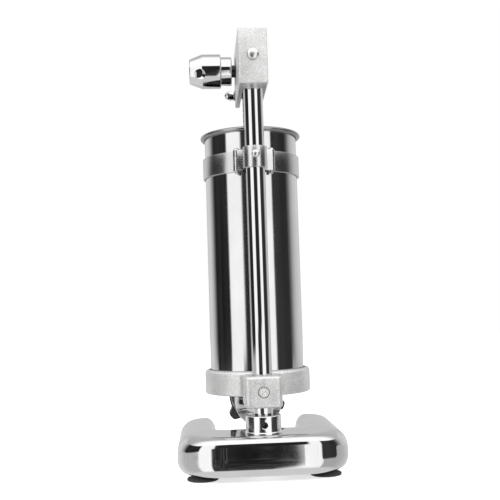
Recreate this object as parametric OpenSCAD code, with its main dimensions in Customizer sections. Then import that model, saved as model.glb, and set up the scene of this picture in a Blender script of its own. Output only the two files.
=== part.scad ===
// Churro maker with an upright barrel on a column stand.
// The crank turns a pinion that drives a toothed rack and its piston down the barrel.
// Millimetres, +Z up, front (the nozzle) towards -Y, crank on +X.
// The origin is on the table, at the centre of the base's footprint.

/* [Base] */
// Width of the base across its two legs
base_w = 176; // [168:1:200]
// Depth of the base from its back to the tips of the legs
base_d = 176; // [170:1:200]
// Height of the base's top above the table
base_h = 45; // [40:1:55]
// Radius of the base's two back corners in plan
base_corner_r = 50; // [44:1:56]
// Radius of the legs' outer corners at their tips
tip_r = 34; // [30:1:38]
// Wall of the hollow base casting
base_wall = 3; // [2:0.5:4]
// Width of one leg of the base
leg_w = 41; // [38:1:46]
// Depth of the crossbar that carries the column
bar_d = 69; // [62:1:74]
// Height of the base's widest line above the table
waist_z = 20; // [16:1:22]
// Height of the upright wall above the widest line, along the sides and tips
side_wall = 2; // [1:0.5:4]
// How far the rounded top edge reaches in from the sides and tips
side_shoulder = 23; // [20:1:28]
// How far the rounded top edge reaches in from the back
back_shoulder = 11; // [8:1:16]
// Height of the rounded top edge at the back
back_rise = 9; // [7:1:14]
// How far the skirt draws in below the widest line
tuck = 9; // [6:1:12]
// Radius of the inner corners of the gap between the legs
gap_corner = 12; // [8:1:15]
// Rounding of the gap's top edge
gap_round = 13; // [8:1:15]

/* [Feet] */
// Diameter of one rubber foot
foot_d = 31.6; // [26:0.2:36]
// Height of the base's rim above the table, where the feet lift it
foot_lift = 6; // [5:0.5:9]
// Distance of the feet's centres from the base's sides and ends
foot_inset = 25.7; // [23:0.1:30]
// Distance of the back feet's centres from the base's back
back_foot_inset = 35; // [30:1:42]
// Diameter of the screws that hold the feet
foot_screw_d = 4.8; // [4:0.1:6]
// Depth of the foot screws in the base
foot_screw_l = 11; // [8:0.5:14]

/* [Column] */
// Diameter of the polished column
column_d = 20; // [18:0.5:24]
// Distance of the column's axis in from the base's back
column_in = 28.5; // [28:0.5:34]
// Distance from the barrel's axis back to the column's axis
reach = 69.5; // [68:0.5:80]
// Diameter of the collar at the column's foot
collar_d = 35.8; // [32:0.2:42]
// Height of the collar
collar_h = 18.4; // [14:0.2:26]
// Depth of the column's socket in the base
socket_depth = 25; // [18:1:28]
// Height of the column's socket in the head
head_socket = 49; // [40:1:50]
// Diameter of the bolt that holds the column from below
column_bolt_d = 10; // [8:0.5:12]

/* [Barrel] */
// Outer diameter of the barrel's tube
barrel_d = 101.6; // [90:0.2:110]
// Wall of the barrel's tube
barrel_wall = 1.2; // [0.8:0.1:2]
// Height of the barrel from its floor to the top of the rim
barrel_h = 278.6; // [250:0.1:300]
// Outer diameter of the rolled rim
rim_d = 110.8; // [106:0.2:122]
// Radius of the rim's rolled bead
bead_r = 2.2; // [1.6:0.1:2.6]
// Thickness of the barrel's floor
floor_t = 1.5; // [1:0.1:3]
// Height of the barrel's floor above the table
floor_z = 83; // [78:1:92]

/* [Cradle] */
// Wall of the cast ring that holds the barrel
ring_wall = 6.1; // [5:0.1:8]
// Height of the cast ring
ring_h = 25.4; // [20:0.2:32]
// Height of the lip that the barrel's floor rests on
lip_h = 3.5; // [2.5:0.5:5]
// Width of the lip
lip_w = 5; // [3:0.5:7]
// Width of the ring's open front, where the spout passes
ring_gap = 57; // [54:1:60]
// Rounding of the ring's top edge
ring_round = 3.5; // [2:0.5:5]
// Width of the boss that grips the column
boss_w = 38; // [32:1:44]
// Height of the boss
boss_h = 31.3; // [26:0.1:40]
// Drop of the boss's underside below the ring's
boss_drop = 8.3; // [4:0.1:12]
// Radius of the fillets that blend the boss into the ring
boss_fillet = 8; // [4:0.5:12]
// Wall behind the column in the boss, the head and the clamps
back_wall = 9; // [8:0.5:12]

/* [Spout] */
// Outer diameter of the spout's tube
spout_d = 50.8; // [44:0.2:52]
// Wall of the spout's tube
spout_wall = 1.2; // [0.8:0.1:2]
// Height of the spout's axis above the table
spout_z = 67; // [62:0.5:70]
// Distance from the barrel's axis to the back of the ferrule
ferrule_y = 58.5; // [58:0.5:62]
// Thickness of the ferrule's flange
flange_t = 2; // [1.5:0.1:3]
// Length of the ferrule's thread
thread_l = 11; // [9:1:13]
// Diameter of the ferrule's flange
flange_d = 55; // [53.6:0.2:56]
// Thickness of the nozzle disc
nozzle_t = 2; // [1:0.2:3]
// Number of points of the star that shapes the dough
star_points = 8; // [6:1:10]
// Outer radius of the star
star_r = 9; // [6:0.5:12]
// Outer diameter of the nut's body
nut_d = 60; // [58:0.5:64]
// Distance of a lobe's tip from the nut's axis
lobe_r = 36.5; // [34:0.5:40]
// Number of lobes on the nut
lobes = 3; // [3:1:6]
// Width of a lobe at its tip
lobe_tip_w = 12; // [9:0.5:14]
// Width of a lobe at its root
lobe_root_w = 19; // [15:0.5:22]

/* [Band] */
// Thickness of the sheet of the upper band
band_t = 2.2; // [1.6:0.1:3]
// Height of the upper band
band_h = 22; // [16:1:30]
// Drop of the band's top below the barrel's rim
band_drop = 26.1; // [14:0.1:60]
// Radius of the hinge eyes at the band's ends
eye_r = 4; // [3.2:0.1:5]
// Radius of the pins in the eyes
eye_pin_r = 2; // [1.5:0.1:2.6]
// Sideways distance of each eye from the column's axis
eye_x = 18; // [16:0.5:22]

/* [Head] */
// Width of the head block
head_w = 30; // [28:1:36]
// Height of the head block
head_h = 57.2; // [54:0.2:64]
// Clear height between the barrel's rim and the head
head_gap = 36.4; // [28:0.1:60]
// Overhang of the head in front of the barrel's axis
head_front = 14; // [13:0.5:18]
// Thickness of the head's two cheeks
cheek_t = 5; // [4:0.5:6]
// Height of the crankshaft's axis above the head's underside
shaft_up = 33; // [31:0.5:34]
// Height of the guide roller's axis above the head's underside
guide_up = 13; // [10:0.5:15]

/* [Rack and pinion] */
// Module of the teeth
tooth_module = 2; // [1.8:0.05:2.1]
// Number of teeth on the pinion
pinion_teeth = 12; // [11:1:13]
// Width of the rack bar
rack_w = 14; // [10:1:16]
// Depth of the rack bar in front of its pitch line
rack_d = 11; // [9:0.5:12]
// Gap between the piston's neck and the head at the top of the stroke
top_gap = 7.5; // [2:0.5:30]
// Height of the rack's top above the head at rest
rack_over = 15; // [6:1:25]
// Diameter of the crankshaft
shaft_d = 13.2; // [11:0.2:14]
// Diameter of the shaft's far journal
journal_d = 11; // [8:0.2:12]
// Length of shaft that shows between the head and the hub
shaft_gap = 4.4; // [2:0.2:8]
// Length that the journal stands out of the far cheek
journal_out = 2.5; // [1:0.1:4]

/* [Crank hub] */
// Diameter of the hub
hub_d = 37.2; // [34:0.2:42]
// Length of the hub's drum and taper
hub_l = 34.5; // [32:0.5:42]
// Length of the tapered nose
nose_l = 14; // [12:0.5:16]
// Diameter of the hub's end face
nose_d = 26.5; // [22:0.5:32]
// Diameter of the hub's collar
hub_collar_d = 31; // [26:0.5:34]
// Length of the hub's collar
hub_collar_l = 11.8; // [8:0.2:16]
// Diameter of the socket for the lever
lever_d = 9.2; // [8:0.2:10]
// Depth of the socket for the lever
lever_depth = 24; // [20:1:26]
// Distance of the lever's socket from the hub's end face
lever_in = 10; // [9:0.5:11]
// Angle of the lever's socket below the horizontal at rest
lever_tilt = 24; // [0:1:60]

/* [Piston] */
// Gap between the piston and the barrel
piston_gap = 0.6; // [0.4:0.1:1]
// Gap between the piston and the barrel's floor at rest
piston_rest = 2; // [1:0.5:4]
// Height of the piston's disc
piston_h = 18; // [16:1:20]
// Height of the piston's neck, which holds the rack
neck_h = 6; // [4:0.5:7]
// Radius of the piston's neck
neck_r = 14; // [12:0.5:18]
// Radius of a piston seal's cord
seal_r = 1.5; // [1.2:0.1:2]

/* [Hidden] */

$fn = 96;
arc_steps = 8;
// Gap of a close fit, running clearance, and how far a cutting body reaches past a face
fit = 0.05;
run = 0.3;
cut = 1;
// Overlap that joins two bodies of one piece
lap = 0.01;
// Chamfer on turned edges
edge = 0.8;

// Places that the pieces share
column_y = base_d / 2 - column_in;
axis_y = column_y - reach;
column_r = column_d / 2;
column_bore = column_r + fit;
back_y = column_y + column_r + back_wall;
column_bottom = base_h - socket_depth;
barrel_r = barrel_d / 2;
barrel_in = barrel_r - barrel_wall;
rim_z = floor_z + barrel_h;
head_z = rim_z + head_gap;
head_top = head_z + head_h;
column_top = head_z + head_socket;
column_edge = 1;

// Base
gap_half = base_w / 2 - leg_w;
gap_back = base_d / 2 - bar_d;
side_rise = base_h - waist_z - side_wall;
rib_low = 8;
rib_reach = 20;
edge_power = 2.4;
socket_wall = 9;
socket_floor = 6;
socket_low = column_bottom - socket_floor;
post_r = 7;
post_rise = 12;

// Feet and their screws
foot_x = base_w / 2 - foot_inset;
foot_ys = [base_d / 2 - back_foot_inset, foot_inset - base_d / 2];
foot_edge = 1.8;
foot_neck_r = 9;
foot_screw_r = foot_screw_d / 2;
foot_head_r = foot_screw_r + 2;
foot_head_h = 2.3;
foot_head_z = 1.5;
foot_recess_r = foot_head_r + 0.6;
foot_seat_z = foot_head_z + foot_head_h + fit;

// Column bolt and washer
column_bolt_r = column_bolt_d / 2;
bolt_in_column = 11;
bolt_bore_depth = 15;
bolt_head_r = column_bolt_r + 3;
bolt_head_h = 5.5;
bolt_washer_r = column_bolt_r + 7;
bolt_washer_t = 2;

// Collar and its set screw
collar_r = collar_d / 2;
collar_foot = 0.8;
collar_foot_h = 1.6;
collar_round = 1.2;
set_screw_r = 3.4;
set_screw_hex = 1.8;
set_screw_sunk = 1.5;
set_screw_z = base_h + collar_h / 2;

// Cradle and its screw and pin
ring_in = barrel_r + run;
ring_r = ring_in + ring_wall;
ring_z = floor_z - lip_h;
ring_chamfer = 1;
boss_z = ring_z - boss_drop;
boss_corner = 6;
boss_relief = 2;
cradle_screw_z = boss_z + boss_h / 2;
cradle_screw_r = 4;
cradle_head_r = 5.4;
cradle_head_h = 5;
cradle_head_gap = 0.35;
counterbore = 6;
cradle_hex = 3.2;
cradle_hex_depth = 3;
side_pin_r = 1.6;
side_pin_y = column_y + 4;
side_pin_z = cradle_screw_z + 3;

// Rolled rim: the flare turns out to flare_stop, and the bead runs from bead_start to bead_stop
flare_stop = 125;
bead_start = 195;
bead_stop = 440;
inner_start = 105;

// Spout, ferrule, nozzle and nut
spout_r = spout_d / 2;
spout_in = spout_r - spout_wall;
floor_hole_r = sqrt(pow(spout_in, 2) - pow(floor_z - spout_z, 2));
ferrule_r = flange_d / 2 - edge;
ferrule_end = ferrule_y + flange_t + thread_l;
thread_pitch = 3;
thread_depth = 0.9;
thread_flank = 0.5;
thread_start = 0.6;
seal_t = 1.5;
seal_lip = 2;
nozzle_r = ferrule_r - run;
nozzle_y = ferrule_end + seal_t;
star_root = 0.6;
nut_gap = 0.4;
nut_lip = 2.5;
nut_lip_hole = 19;
nut_start = ferrule_y + flange_t + 0.5;
nut_end = nozzle_y + nozzle_t + nut_lip;
lobe_turn = 81;
lobe_root_r = nut_d / 2 - 3.5;
lobe_round = 2.4;
lobe_side = 70;

// Band, saddle, pins and screw
band_in = barrel_r + run;
band_r = band_in + band_t;
band_top = rim_z - band_drop;
band_z = band_top - band_h;
eye_y = axis_y + sqrt(pow(band_r, 2) - pow(eye_x, 2)) + eye_r - 1;
eye_h = band_h / 3;
pin_head_r = eye_pin_r + 1.4;
pin_head_h = 2.8;
pin_below = 3;
saddle_r = column_bore + band_t + 0.4;
saddle_eye_gap = 0.3;
band_screw_z = band_z + band_h / 2 + 1;
band_screw_r = 2.6;
band_pad_r = 6.5;
band_pad_t = 0.6;
band_head_r = 4.2;
band_head_h = 2.8;
band_hex = 1.4;

// Head and its screw
head_corner = 1.2;
head_depth = back_y - axis_y + head_front;
channel_in = head_w / 2 - cheek_t;
channel_wall = 7;
channel_back = column_y - column_r - channel_wall;
head_screw_z = head_z + 30;
head_screw_r = 4;
head_dome_r = 6;
head_dome_h = 3.1;
slide = 0.15;

// Rack, pinion and shaft
pitch_r = tooth_module * pinion_teeth / 2;
tooth_pitch = PI * tooth_module;
press_angle = 20;
pinion_tip = 0.9 * tooth_module;
pinion_root = 1 * tooth_module;
rack_tip = 0.65 * tooth_module;
rack_root = 1.25 * tooth_module;
backlash = 0.16;
rack_line_y = axis_y + 6;
rack_front_y = rack_line_y - rack_d;
shaft_y = rack_line_y + pitch_r;
shaft_z = head_z + shaft_up;
pinion_half = channel_in - run;
tip_gap = 1;
bush_r = pitch_r + pinion_tip + tip_gap;
channel_top = shaft_z + pitch_r + pinion_tip + tip_gap;
rack_chamfer = 1;
rack_foot = 5;
spare_teeth = 5;
teeth_above = 3;

// Guide roller, its bolt, washer and acorn nut
roller_r = 3.8;
bolt_r = 2.5;
bolt_skin = 1.5;
bolt_out = 7;
guide_y = rack_front_y - roller_r - fit;
guide_z = head_z + guide_up;
washer_r = 5.6;
washer_t = 1.6;
acorn_hex_h = 5;
acorn_r = 4.8;
acorn_dome = 5.4;

// Piston, its seals, washer and screw
piston_z = floor_z + floor_t + piston_rest;
piston_r = barrel_in - piston_gap;
piston_top = piston_z + piston_h;
piston_edge = 1.5;
groove_in = 4;
groove_zs = [piston_z + groove_in, piston_top - groove_in];
seal_centre = piston_r - 1.2;
stud_r = 4;
stud_l = 18;
rack_seat = 8;
rack_bottom = piston_z + rack_seat;
rack_top = head_top + rack_over;
stroke = head_z - top_gap - piston_top - neck_h;
rack_teeth = ceil(stroke / tooth_pitch + spare_teeth);
first_tooth_z = shaft_z + (teeth_above - rack_teeth) * tooth_pitch;
piston_head_r = 7;
piston_head_h = 2;
piston_washer_r = 11;
piston_washer_t = 1;
piston_recess = piston_head_h + piston_washer_t + 0.2;

// Crank hub and its pin
hub_r = hub_d / 2;
hub_start = head_w / 2 + shaft_gap;
hub_end = hub_start + hub_collar_l + hub_l;
lever_x = hub_end - lever_in;
lever_r = lever_d / 2;
lever_sink = 5;
shaft_end = lever_x - lever_r - 3;
hub_pin_r = 2;
pin_x = hub_start + hub_collar_l / 2;

steel = [0.80, 0.81, 0.82];
chrome = [0.86, 0.87, 0.88];
casting = [0.77, 0.77, 0.76];
dark_steel = [0.22, 0.22, 0.23];
bronze = [0.35, 0.31, 0.24];
black = [0.10, 0.10, 0.11];
white = [0.93, 0.93, 0.90];

// ---- shared shapes ----

// Points of a quarter of an oval from a side point up to its top
function oval(a, b, power, steps) = [for (i = [0:steps])
    [a * pow(cos(90 * i / steps), 2 / power), b * pow(sin(90 * i / steps), 2 / power)]];

// Points of an arc about a centre
function arc(cx, cy, r, from, to, steps) = [for (i = [0:steps])
    [cx + r * cos(from + (to - from) * i / steps), cy + r * sin(from + (to - from) * i / steps)]];

// Points of a mirrored copy of a half outline, in reverse order
function other_half(half) = [for (i = [len(half) - 1:-1:0]) [-half[i][0], half[i][1]]];

// A flat rectangle with rounded corners
module rounded_plan(w, d, r) {
    x = w / 2 - r;
    y = d / 2 - r;
    polygon(concat(arc(x, y, r, 0, 90, arc_steps), arc(-x, y, r, 90, 180, arc_steps),
        arc(-x, -y, r, 180, 270, arc_steps), arc(x, -y, r, 270, 360, arc_steps)));
}

// A rod along +X or +Y from one place to another
module rod_x(r, from, to) { translate([from, 0, 0]) rotate([0, 90, 0]) cylinder(r = r, h = to - from); }
module rod_y(r, from, to) { translate([0, from, 0]) rotate([-90, 0, 0]) cylinder(r = r, h = to - from); }

// A domed head of radius r and height h, standing on z = 0
module dome(r, h) { rotate_extrude() polygon(concat([[0, 0]], oval(r, h, 2, arc_steps))); }

// A hexagon bar of corner radius r, standing on z = 0
module hexagon(r, h) { cylinder(r = r, h = h, $fn = 6); }

// ---- base ----

// Rounded top edge of width w and rise h on a wall at x = out, in from the skin by t
function shoulder_arc(out, w, h, t) = [for (p = oval(w - t, h - t, edge_power, arc_steps))
    [out - w + p[0], base_h - h + p[1]]];

// Section of the base's edge, out to a corner radius r, in from the skin by t
module edge_section(r, t, low, w, h) {
    out = r - t;
    bottom = [for (i = [arc_steps:-1:0])
        [out - tuck + tuck * cos(90 * i / arc_steps),
            waist_z - (waist_z - foot_lift) * sin(90 * i / arc_steps)]];
    polygon(concat([[0, base_h - t], [0, low], [out - tuck, low]], bottom, shoulder_arc(r, w, h, t)));
}

// The back of the base, whose tight top edge gives way to the sides' wide one round the corners
module base_back(t, low) {
    back_x = base_w / 2 - base_corner_r;
    side_back = base_d / 2 - base_corner_r;
    difference() {
        union() {
            translate([0, side_back, 0]) rotate([90, 0, 90]) linear_extrude(2 * back_x, center = true)
                edge_section(base_corner_r, t, low, back_shoulder, back_rise);
            for (s = [0, 1]) mirror([s, 0, 0]) translate([back_x, side_back, 0])
                rotate_extrude(angle = 90) edge_section(base_corner_r, t, low, back_shoulder, back_rise);
        }
        for (s = [0, 1]) mirror([s, 0, 0]) translate([0, base_d, 0]) rotate([90, 0, 0])
            linear_extrude(base_d) polygon(concat(
                shoulder_arc(base_w / 2, side_shoulder, side_rise, t),
                [[base_w / 2 - side_shoulder, 2 * base_h], [base_w, 2 * base_h],
                    [base_w, base_h - side_rise]]));
    }
}

// The base's outer form without its gap, in from the skin by t
module base_pillow(t, low) {
    side_x = base_w / 2 - tip_r;
    side_back = base_d / 2 - base_corner_r;
    side_front = tip_r - base_d / 2;
    side_mid = (side_back + side_front) / 2;
    base_back(t, low);
    translate([-side_x, side_front, low])
        cube([2 * side_x, side_back - side_front, base_h - t - low]);
    mirror([0, 1, 0]) translate([0, -side_front, 0]) rotate([90, 0, 90])
        linear_extrude(2 * side_x, center = true) edge_section(tip_r, t, low, side_shoulder, side_rise);
    for (s = [0, 1]) mirror([s, 0, 0]) {
        translate([side_x, side_mid, 0]) rotate([90, 0, 0])
            linear_extrude(side_back - side_front, center = true)
                edge_section(tip_r, t, low, side_shoulder, side_rise);
        translate([side_x, side_front, 0]) rotate(-90) rotate_extrude(angle = 90)
            edge_section(tip_r, t, low, side_shoulder, side_rise);
    }
}

// Plan of the gap between the legs, wider by g
module gap_plan(g) {
    x = gap_half + g;
    y = gap_back + g;
    r = gap_corner + g;
    translate([-x, -base_d]) square([2 * x, base_d + y - r]);
    translate([r - x, -base_d]) square([2 * (x - r), base_d + y]);
    for (s = [-1, 1]) translate([s * (x - r), y - r]) circle(r);
}

// Section of the cut that rounds the gap's top edge, from a gap wall at x = out, in from the skin by t
module edge_cut(out, t) {
    polygon(concat([[out - lap, base_h - gap_round]],
        arc(out + gap_round, base_h - gap_round, gap_round - t, 180, 90, arc_steps),
        [[out + gap_round, base_h + cut], [out - lap, base_h + cut]]));
}

// The cut along the gap's two sides, its back and its two inner corners
module gap_edges(t) {
    for (s = [0, 1]) mirror([s, 0, 0]) {
        translate([0, gap_back - gap_corner, 0]) rotate([90, 0, 0]) linear_extrude(base_d)
            edge_cut(gap_half, t);
        translate([gap_half - gap_corner, gap_back - gap_corner, 0]) rotate_extrude(angle = 90)
            edge_cut(gap_corner, t);
    }
    rotate([90, 0, 90]) linear_extrude(2 * (gap_half - gap_corner), center = true)
        edge_cut(gap_back, t);
}

// Places of the four feet
module at_feet() {
    for (s = [-1, 1], y = foot_ys) translate([s * foot_x, y, 0]) children();
}

module base() {
    color(chrome) difference() {
        base_pillow(0, foot_lift);
        linear_extrude(3 * base_h, center = true) gap_plan(0);
        gap_edges(0);
        difference() {
            base_pillow(base_wall, foot_lift - cut);
            linear_extrude(3 * base_h, center = true) gap_plan(base_wall);
            gap_edges(base_wall);
            for (s = [0, 1]) mirror([s, 0, 0]) translate([gap_half, gap_back - rib_reach, rib_low])
                cube([base_wall, base_d, base_h]);
            translate([0, column_y, socket_low]) cylinder(r = column_r + socket_wall, h = base_h);
            at_feet() translate([0, 0, foot_lift]) cylinder(r = post_r, h = base_h);
        }
        translate([0, column_y, column_bottom]) cylinder(r = column_bore, h = base_h);
        translate([0, column_y, 0]) cylinder(r = column_bolt_r + run, h = base_h);
        at_feet() cylinder(r = foot_screw_r + fit, h = foot_lift + post_rise);
    }
}

module feet() {
    foot_r = foot_d / 2;
    color(black) at_feet() difference() {
        rotate_extrude() polygon(concat([[0, 0]], arc(foot_r - foot_edge, foot_edge, foot_edge, -90, 40, 5),
            [[foot_neck_r + edge, foot_lift - edge], [foot_neck_r, foot_lift], [0, foot_lift]]));
        translate([0, 0, -cut]) cylinder(r = foot_recess_r, h = foot_seat_z + cut);
        cylinder(r = foot_screw_r + fit, h = foot_lift + cut);
    }
}

module foot_screws() {
    color(steel) at_feet() translate([0, 0, foot_head_z]) {
        cylinder(r = foot_head_r, h = foot_head_h);
        cylinder(r = foot_screw_r, h = foot_lift - foot_head_z + foot_screw_l);
    }
}

// ---- column ----

module column() {
    color(chrome) difference() {
        translate([0, column_y, 0]) rotate_extrude() polygon([[0, column_bottom], [column_r, column_bottom],
            [column_r, column_top - column_edge], [column_r - column_edge, column_top], [0, column_top]]);
        translate([0, column_y, column_bottom - cut]) cylinder(r = column_bolt_r, h = bolt_bore_depth + cut);
    }
}

module base_collar() {
    color(chrome) difference() {
        translate([0, column_y, base_h]) rotate_extrude() polygon(concat(
            [[column_bore, 0], [collar_r + collar_foot, 0], [collar_r + collar_foot, collar_foot_h],
                [collar_r, collar_foot_h + collar_foot]],
            arc(collar_r - collar_round, collar_h - collar_round, collar_round, 0, 90, 4),
            [[column_bore, collar_h]]));
        translate([0, column_y, set_screw_z]) rod_y(set_screw_r + fit, 0, collar_d);
    }
}

module collar_set_screw() {
    color(black) translate([0, column_y, set_screw_z]) difference() {
        rod_y(set_screw_r, column_bore, collar_r - set_screw_sunk);
        rotate([-90, 0, 0]) hexagon(set_screw_hex, collar_d);
    }
}

module column_bolt() {
    color(steel) translate([0, column_y, socket_low - bolt_washer_t]) {
        translate([0, 0, -bolt_head_h]) hexagon(bolt_head_r, bolt_head_h);
        translate([0, 0, -lap]) cylinder(r = column_bolt_r - fit,
            h = bolt_washer_t + socket_floor + bolt_in_column + lap);
    }
}

module column_washer() {
    color(steel) translate([0, column_y, socket_low - bolt_washer_t]) difference() {
        cylinder(r = bolt_washer_r, h = bolt_washer_t);
        translate([0, 0, -cut]) cylinder(r = column_bolt_r, h = bolt_washer_t + 2 * cut);
    }
}

// ---- cradle ----

// Half of the boss's plan, with a fillet that meets the ring's outside tangentially
function boss_half() =
    let (x = boss_w / 2 + boss_fillet, rise = sqrt(pow(ring_r + boss_fillet, 2) - x * x),
        ring_point = [x * ring_r / (ring_r + boss_fillet), axis_y + ring_in / 2])
    concat([ring_point], arc(x, axis_y + rise, boss_fillet, 180 + atan2(rise, x), 180, arc_steps),
        arc(boss_w / 2 - boss_corner, back_y - boss_corner, boss_corner, 0, 90, arc_steps));

module cradle() {
    color(casting) difference() {
        union() {
            translate([0, axis_y, ring_z]) rotate_extrude() polygon(concat(
                [[ring_in - lip_w, 0], [ring_r - ring_chamfer, 0], [ring_r, ring_chamfer]],
                arc(ring_r - ring_round, ring_h - ring_round, ring_round, 0, 80, 6),
                [[ring_in, ring_h], [ring_in, lip_h], [ring_in - lip_w, lip_h]]));
            difference() {
                translate([0, 0, boss_z]) linear_extrude(boss_h)
                    polygon(concat(boss_half(), other_half(boss_half())));
                translate([0, axis_y, boss_z - cut]) cylinder(r = ring_in + boss_relief, h = 2 * boss_h);
            }
        }
        translate([-ring_gap / 2, axis_y - ring_r - cut, ring_z - cut])
            cube([ring_gap, ring_r, ring_h + 2 * cut]);
        translate([0, column_y, boss_z - cut]) cylinder(r = column_bore, h = boss_h + 2 * cut);
        translate([0, 0, cradle_screw_z]) {
            rod_y(cradle_head_r + cradle_head_gap, back_y - counterbore, back_y + cut);
            rod_y(cradle_screw_r, column_y, back_y);
        }
        translate([0, side_pin_y, side_pin_z]) rod_x(side_pin_r, -boss_w / 2 - cut, -column_r);
    }
}

module cradle_screw() {
    head_start = back_y - counterbore + lap;
    color(steel) translate([0, 0, cradle_screw_z]) difference() {
        union() {
            rod_y(cradle_head_r, head_start, head_start + cradle_head_h);
            rod_y(cradle_screw_r - fit, column_y + column_r, head_start + cut);
        }
        translate([0, head_start + cradle_head_h - cradle_hex_depth, 0]) rotate([-90, 0, 0])
            hexagon(cradle_hex, cradle_head_h);
        translate([0, column_y, -boss_h / 2]) cylinder(r = column_bore, h = boss_h);
    }
}

module cradle_side_pin() {
    color(steel) difference() {
        translate([0, side_pin_y, side_pin_z]) rod_x(side_pin_r - fit / 2, -boss_w / 2, -column_r);
        translate([0, column_y, boss_z]) cylinder(r = column_bore, h = boss_h);
    }
}

// ---- barrel and spout ----

module barrel_tube() {
    bead_x = rim_d / 2 - bead_r;
    bead_z = rim_z - bead_r;
    flare = bead_x - barrel_r;
    turn_z = bead_z - flare;
    color(steel) translate([0, axis_y, 0]) rotate_extrude() polygon(concat(
        [[barrel_in, floor_z], [barrel_r, floor_z]],
        arc(bead_x, turn_z, flare, 180, flare_stop, 5),
        arc(bead_x, bead_z, bead_r, bead_start, bead_stop, 20),
        arc(bead_x, turn_z, flare + barrel_wall, inner_start, 180, 6)));
}

module barrel_floor() {
    color(steel) translate([0, axis_y, floor_z]) difference() {
        cylinder(r = barrel_in, h = floor_t);
        translate([0, 0, -cut]) cylinder(r = floor_hole_r, h = floor_t + 2 * cut);
    }
}

module spout() {
    color(steel) translate([0, axis_y, spout_z]) difference() {
        union() {
            sphere(spout_r);
            rod_y(spout_r, lap - ferrule_end, 0);
        }
        sphere(spout_in);
        rod_y(spout_in, -ferrule_end - cut, 0);
        translate([0, 0, floor_z - spout_z]) cylinder(r = barrel_r, h = spout_d);
    }
}

// The ferrule's thread is a row of plain rings, counted from its front end
module spout_ferrule() {
    root = ferrule_r - thread_depth;
    grooves = floor(thread_l / thread_pitch) - 1;
    groove = [[ferrule_r, 0], [root, thread_flank], [root, 2 * thread_flank], [ferrule_r, 3 * thread_flank]];
    color(steel) translate([0, axis_y - ferrule_end, spout_z]) rotate([-90, 0, 0]) rotate_extrude()
        polygon(concat(
            [[spout_r + fit, 0], [ferrule_r - thread_start, 0], [ferrule_r, thread_start]],
            [for (i = [0:grooves - 1], p = groove) [p[0], p[1] + thread_pitch * (i + 0.5)]],
            [[ferrule_r, thread_l], [flange_d / 2, thread_l], [flange_d / 2, thread_l + flange_t],
                [spout_r + fit, thread_l + flange_t]]));
}

module nozzle_seal() {
    color(black) translate([0, axis_y - nozzle_y, spout_z]) rotate([-90, 0, 0]) difference() {
        cylinder(r = nozzle_r, h = seal_t - fit / 2);
        translate([0, 0, -cut]) cylinder(r = spout_in - seal_lip, h = seal_t + 2 * cut);
    }
}

module nozzle_disc() {
    star = [for (i = [0:2 * star_points - 1])
        let (r = i % 2 == 0 ? star_r : star_root * star_r, a = 180 * i / star_points)
            [r * cos(a), r * sin(a)]];
    color(steel) translate([0, axis_y - nozzle_y, spout_z]) rotate([90, 0, 0])
        linear_extrude(nozzle_t) difference() {
            circle(nozzle_r);
            polygon(star);
        }
}

// Half of a lobe's plan, with its tip towards +X
function lobe_half() = concat(
    arc(lobe_r - lobe_round, lobe_tip_w / 2 - lobe_round, lobe_round, 0, lobe_side, 5),
    [[lobe_root_r, lobe_root_w / 2]]);

module spout_nut() {
    nut_l = nut_end - nut_start;
    half = lobe_half();
    lower = [for (i = [len(half) - 1:-1:0]) [half[i][0], -half[i][1]]];
    color(black) translate([0, axis_y - nut_start, spout_z]) rotate([90, 0, 0]) difference() {
        union() {
            cylinder(r = nut_d / 2, h = nut_l);
            for (i = [0:lobes - 1]) rotate(lobe_turn + 360 * i / lobes)
                linear_extrude(nut_l) polygon(concat(half, lower));
        }
        translate([0, 0, -cut]) cylinder(r = ferrule_r + nut_gap, h = nut_l + cut - nut_lip);
        cylinder(r = nut_lip_hole, h = nut_l + cut);
    }
}

// ---- upper band ----

// Places of the two hinge eyes
module at_eyes() {
    for (s = [-1, 1]) translate([s * eye_x, eye_y, 0]) children();
}

// The outer two thirds of each eye belong to the band
module band() {
    color(steel) difference() {
        union() {
            translate([0, axis_y, band_z]) difference() {
                cylinder(r = band_r, h = band_h);
                translate([-eye_x, 0, -cut]) cube([2 * eye_x, 2 * barrel_r, band_h + 2 * cut]);
            }
            at_eyes() translate([0, 0, band_z]) cylinder(r = eye_r, h = band_h);
        }
        translate([0, axis_y, band_z - cut]) cylinder(r = band_in, h = band_h + 2 * cut);
        at_eyes() {
            translate([0, 0, band_z - cut]) cylinder(r = eye_pin_r + fit, h = band_h + 2 * cut);
            translate([0, 0, band_z + eye_h]) cylinder(r = eye_r + cut, h = eye_h);
        }
    }
}

module band_pins() {
    color(steel) at_eyes() {
        translate([0, 0, band_z - pin_below]) cylinder(r = eye_pin_r, h = band_h + pin_below + lap);
        translate([0, 0, band_top]) dome(pin_head_r, pin_head_h);
    }
}

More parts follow.
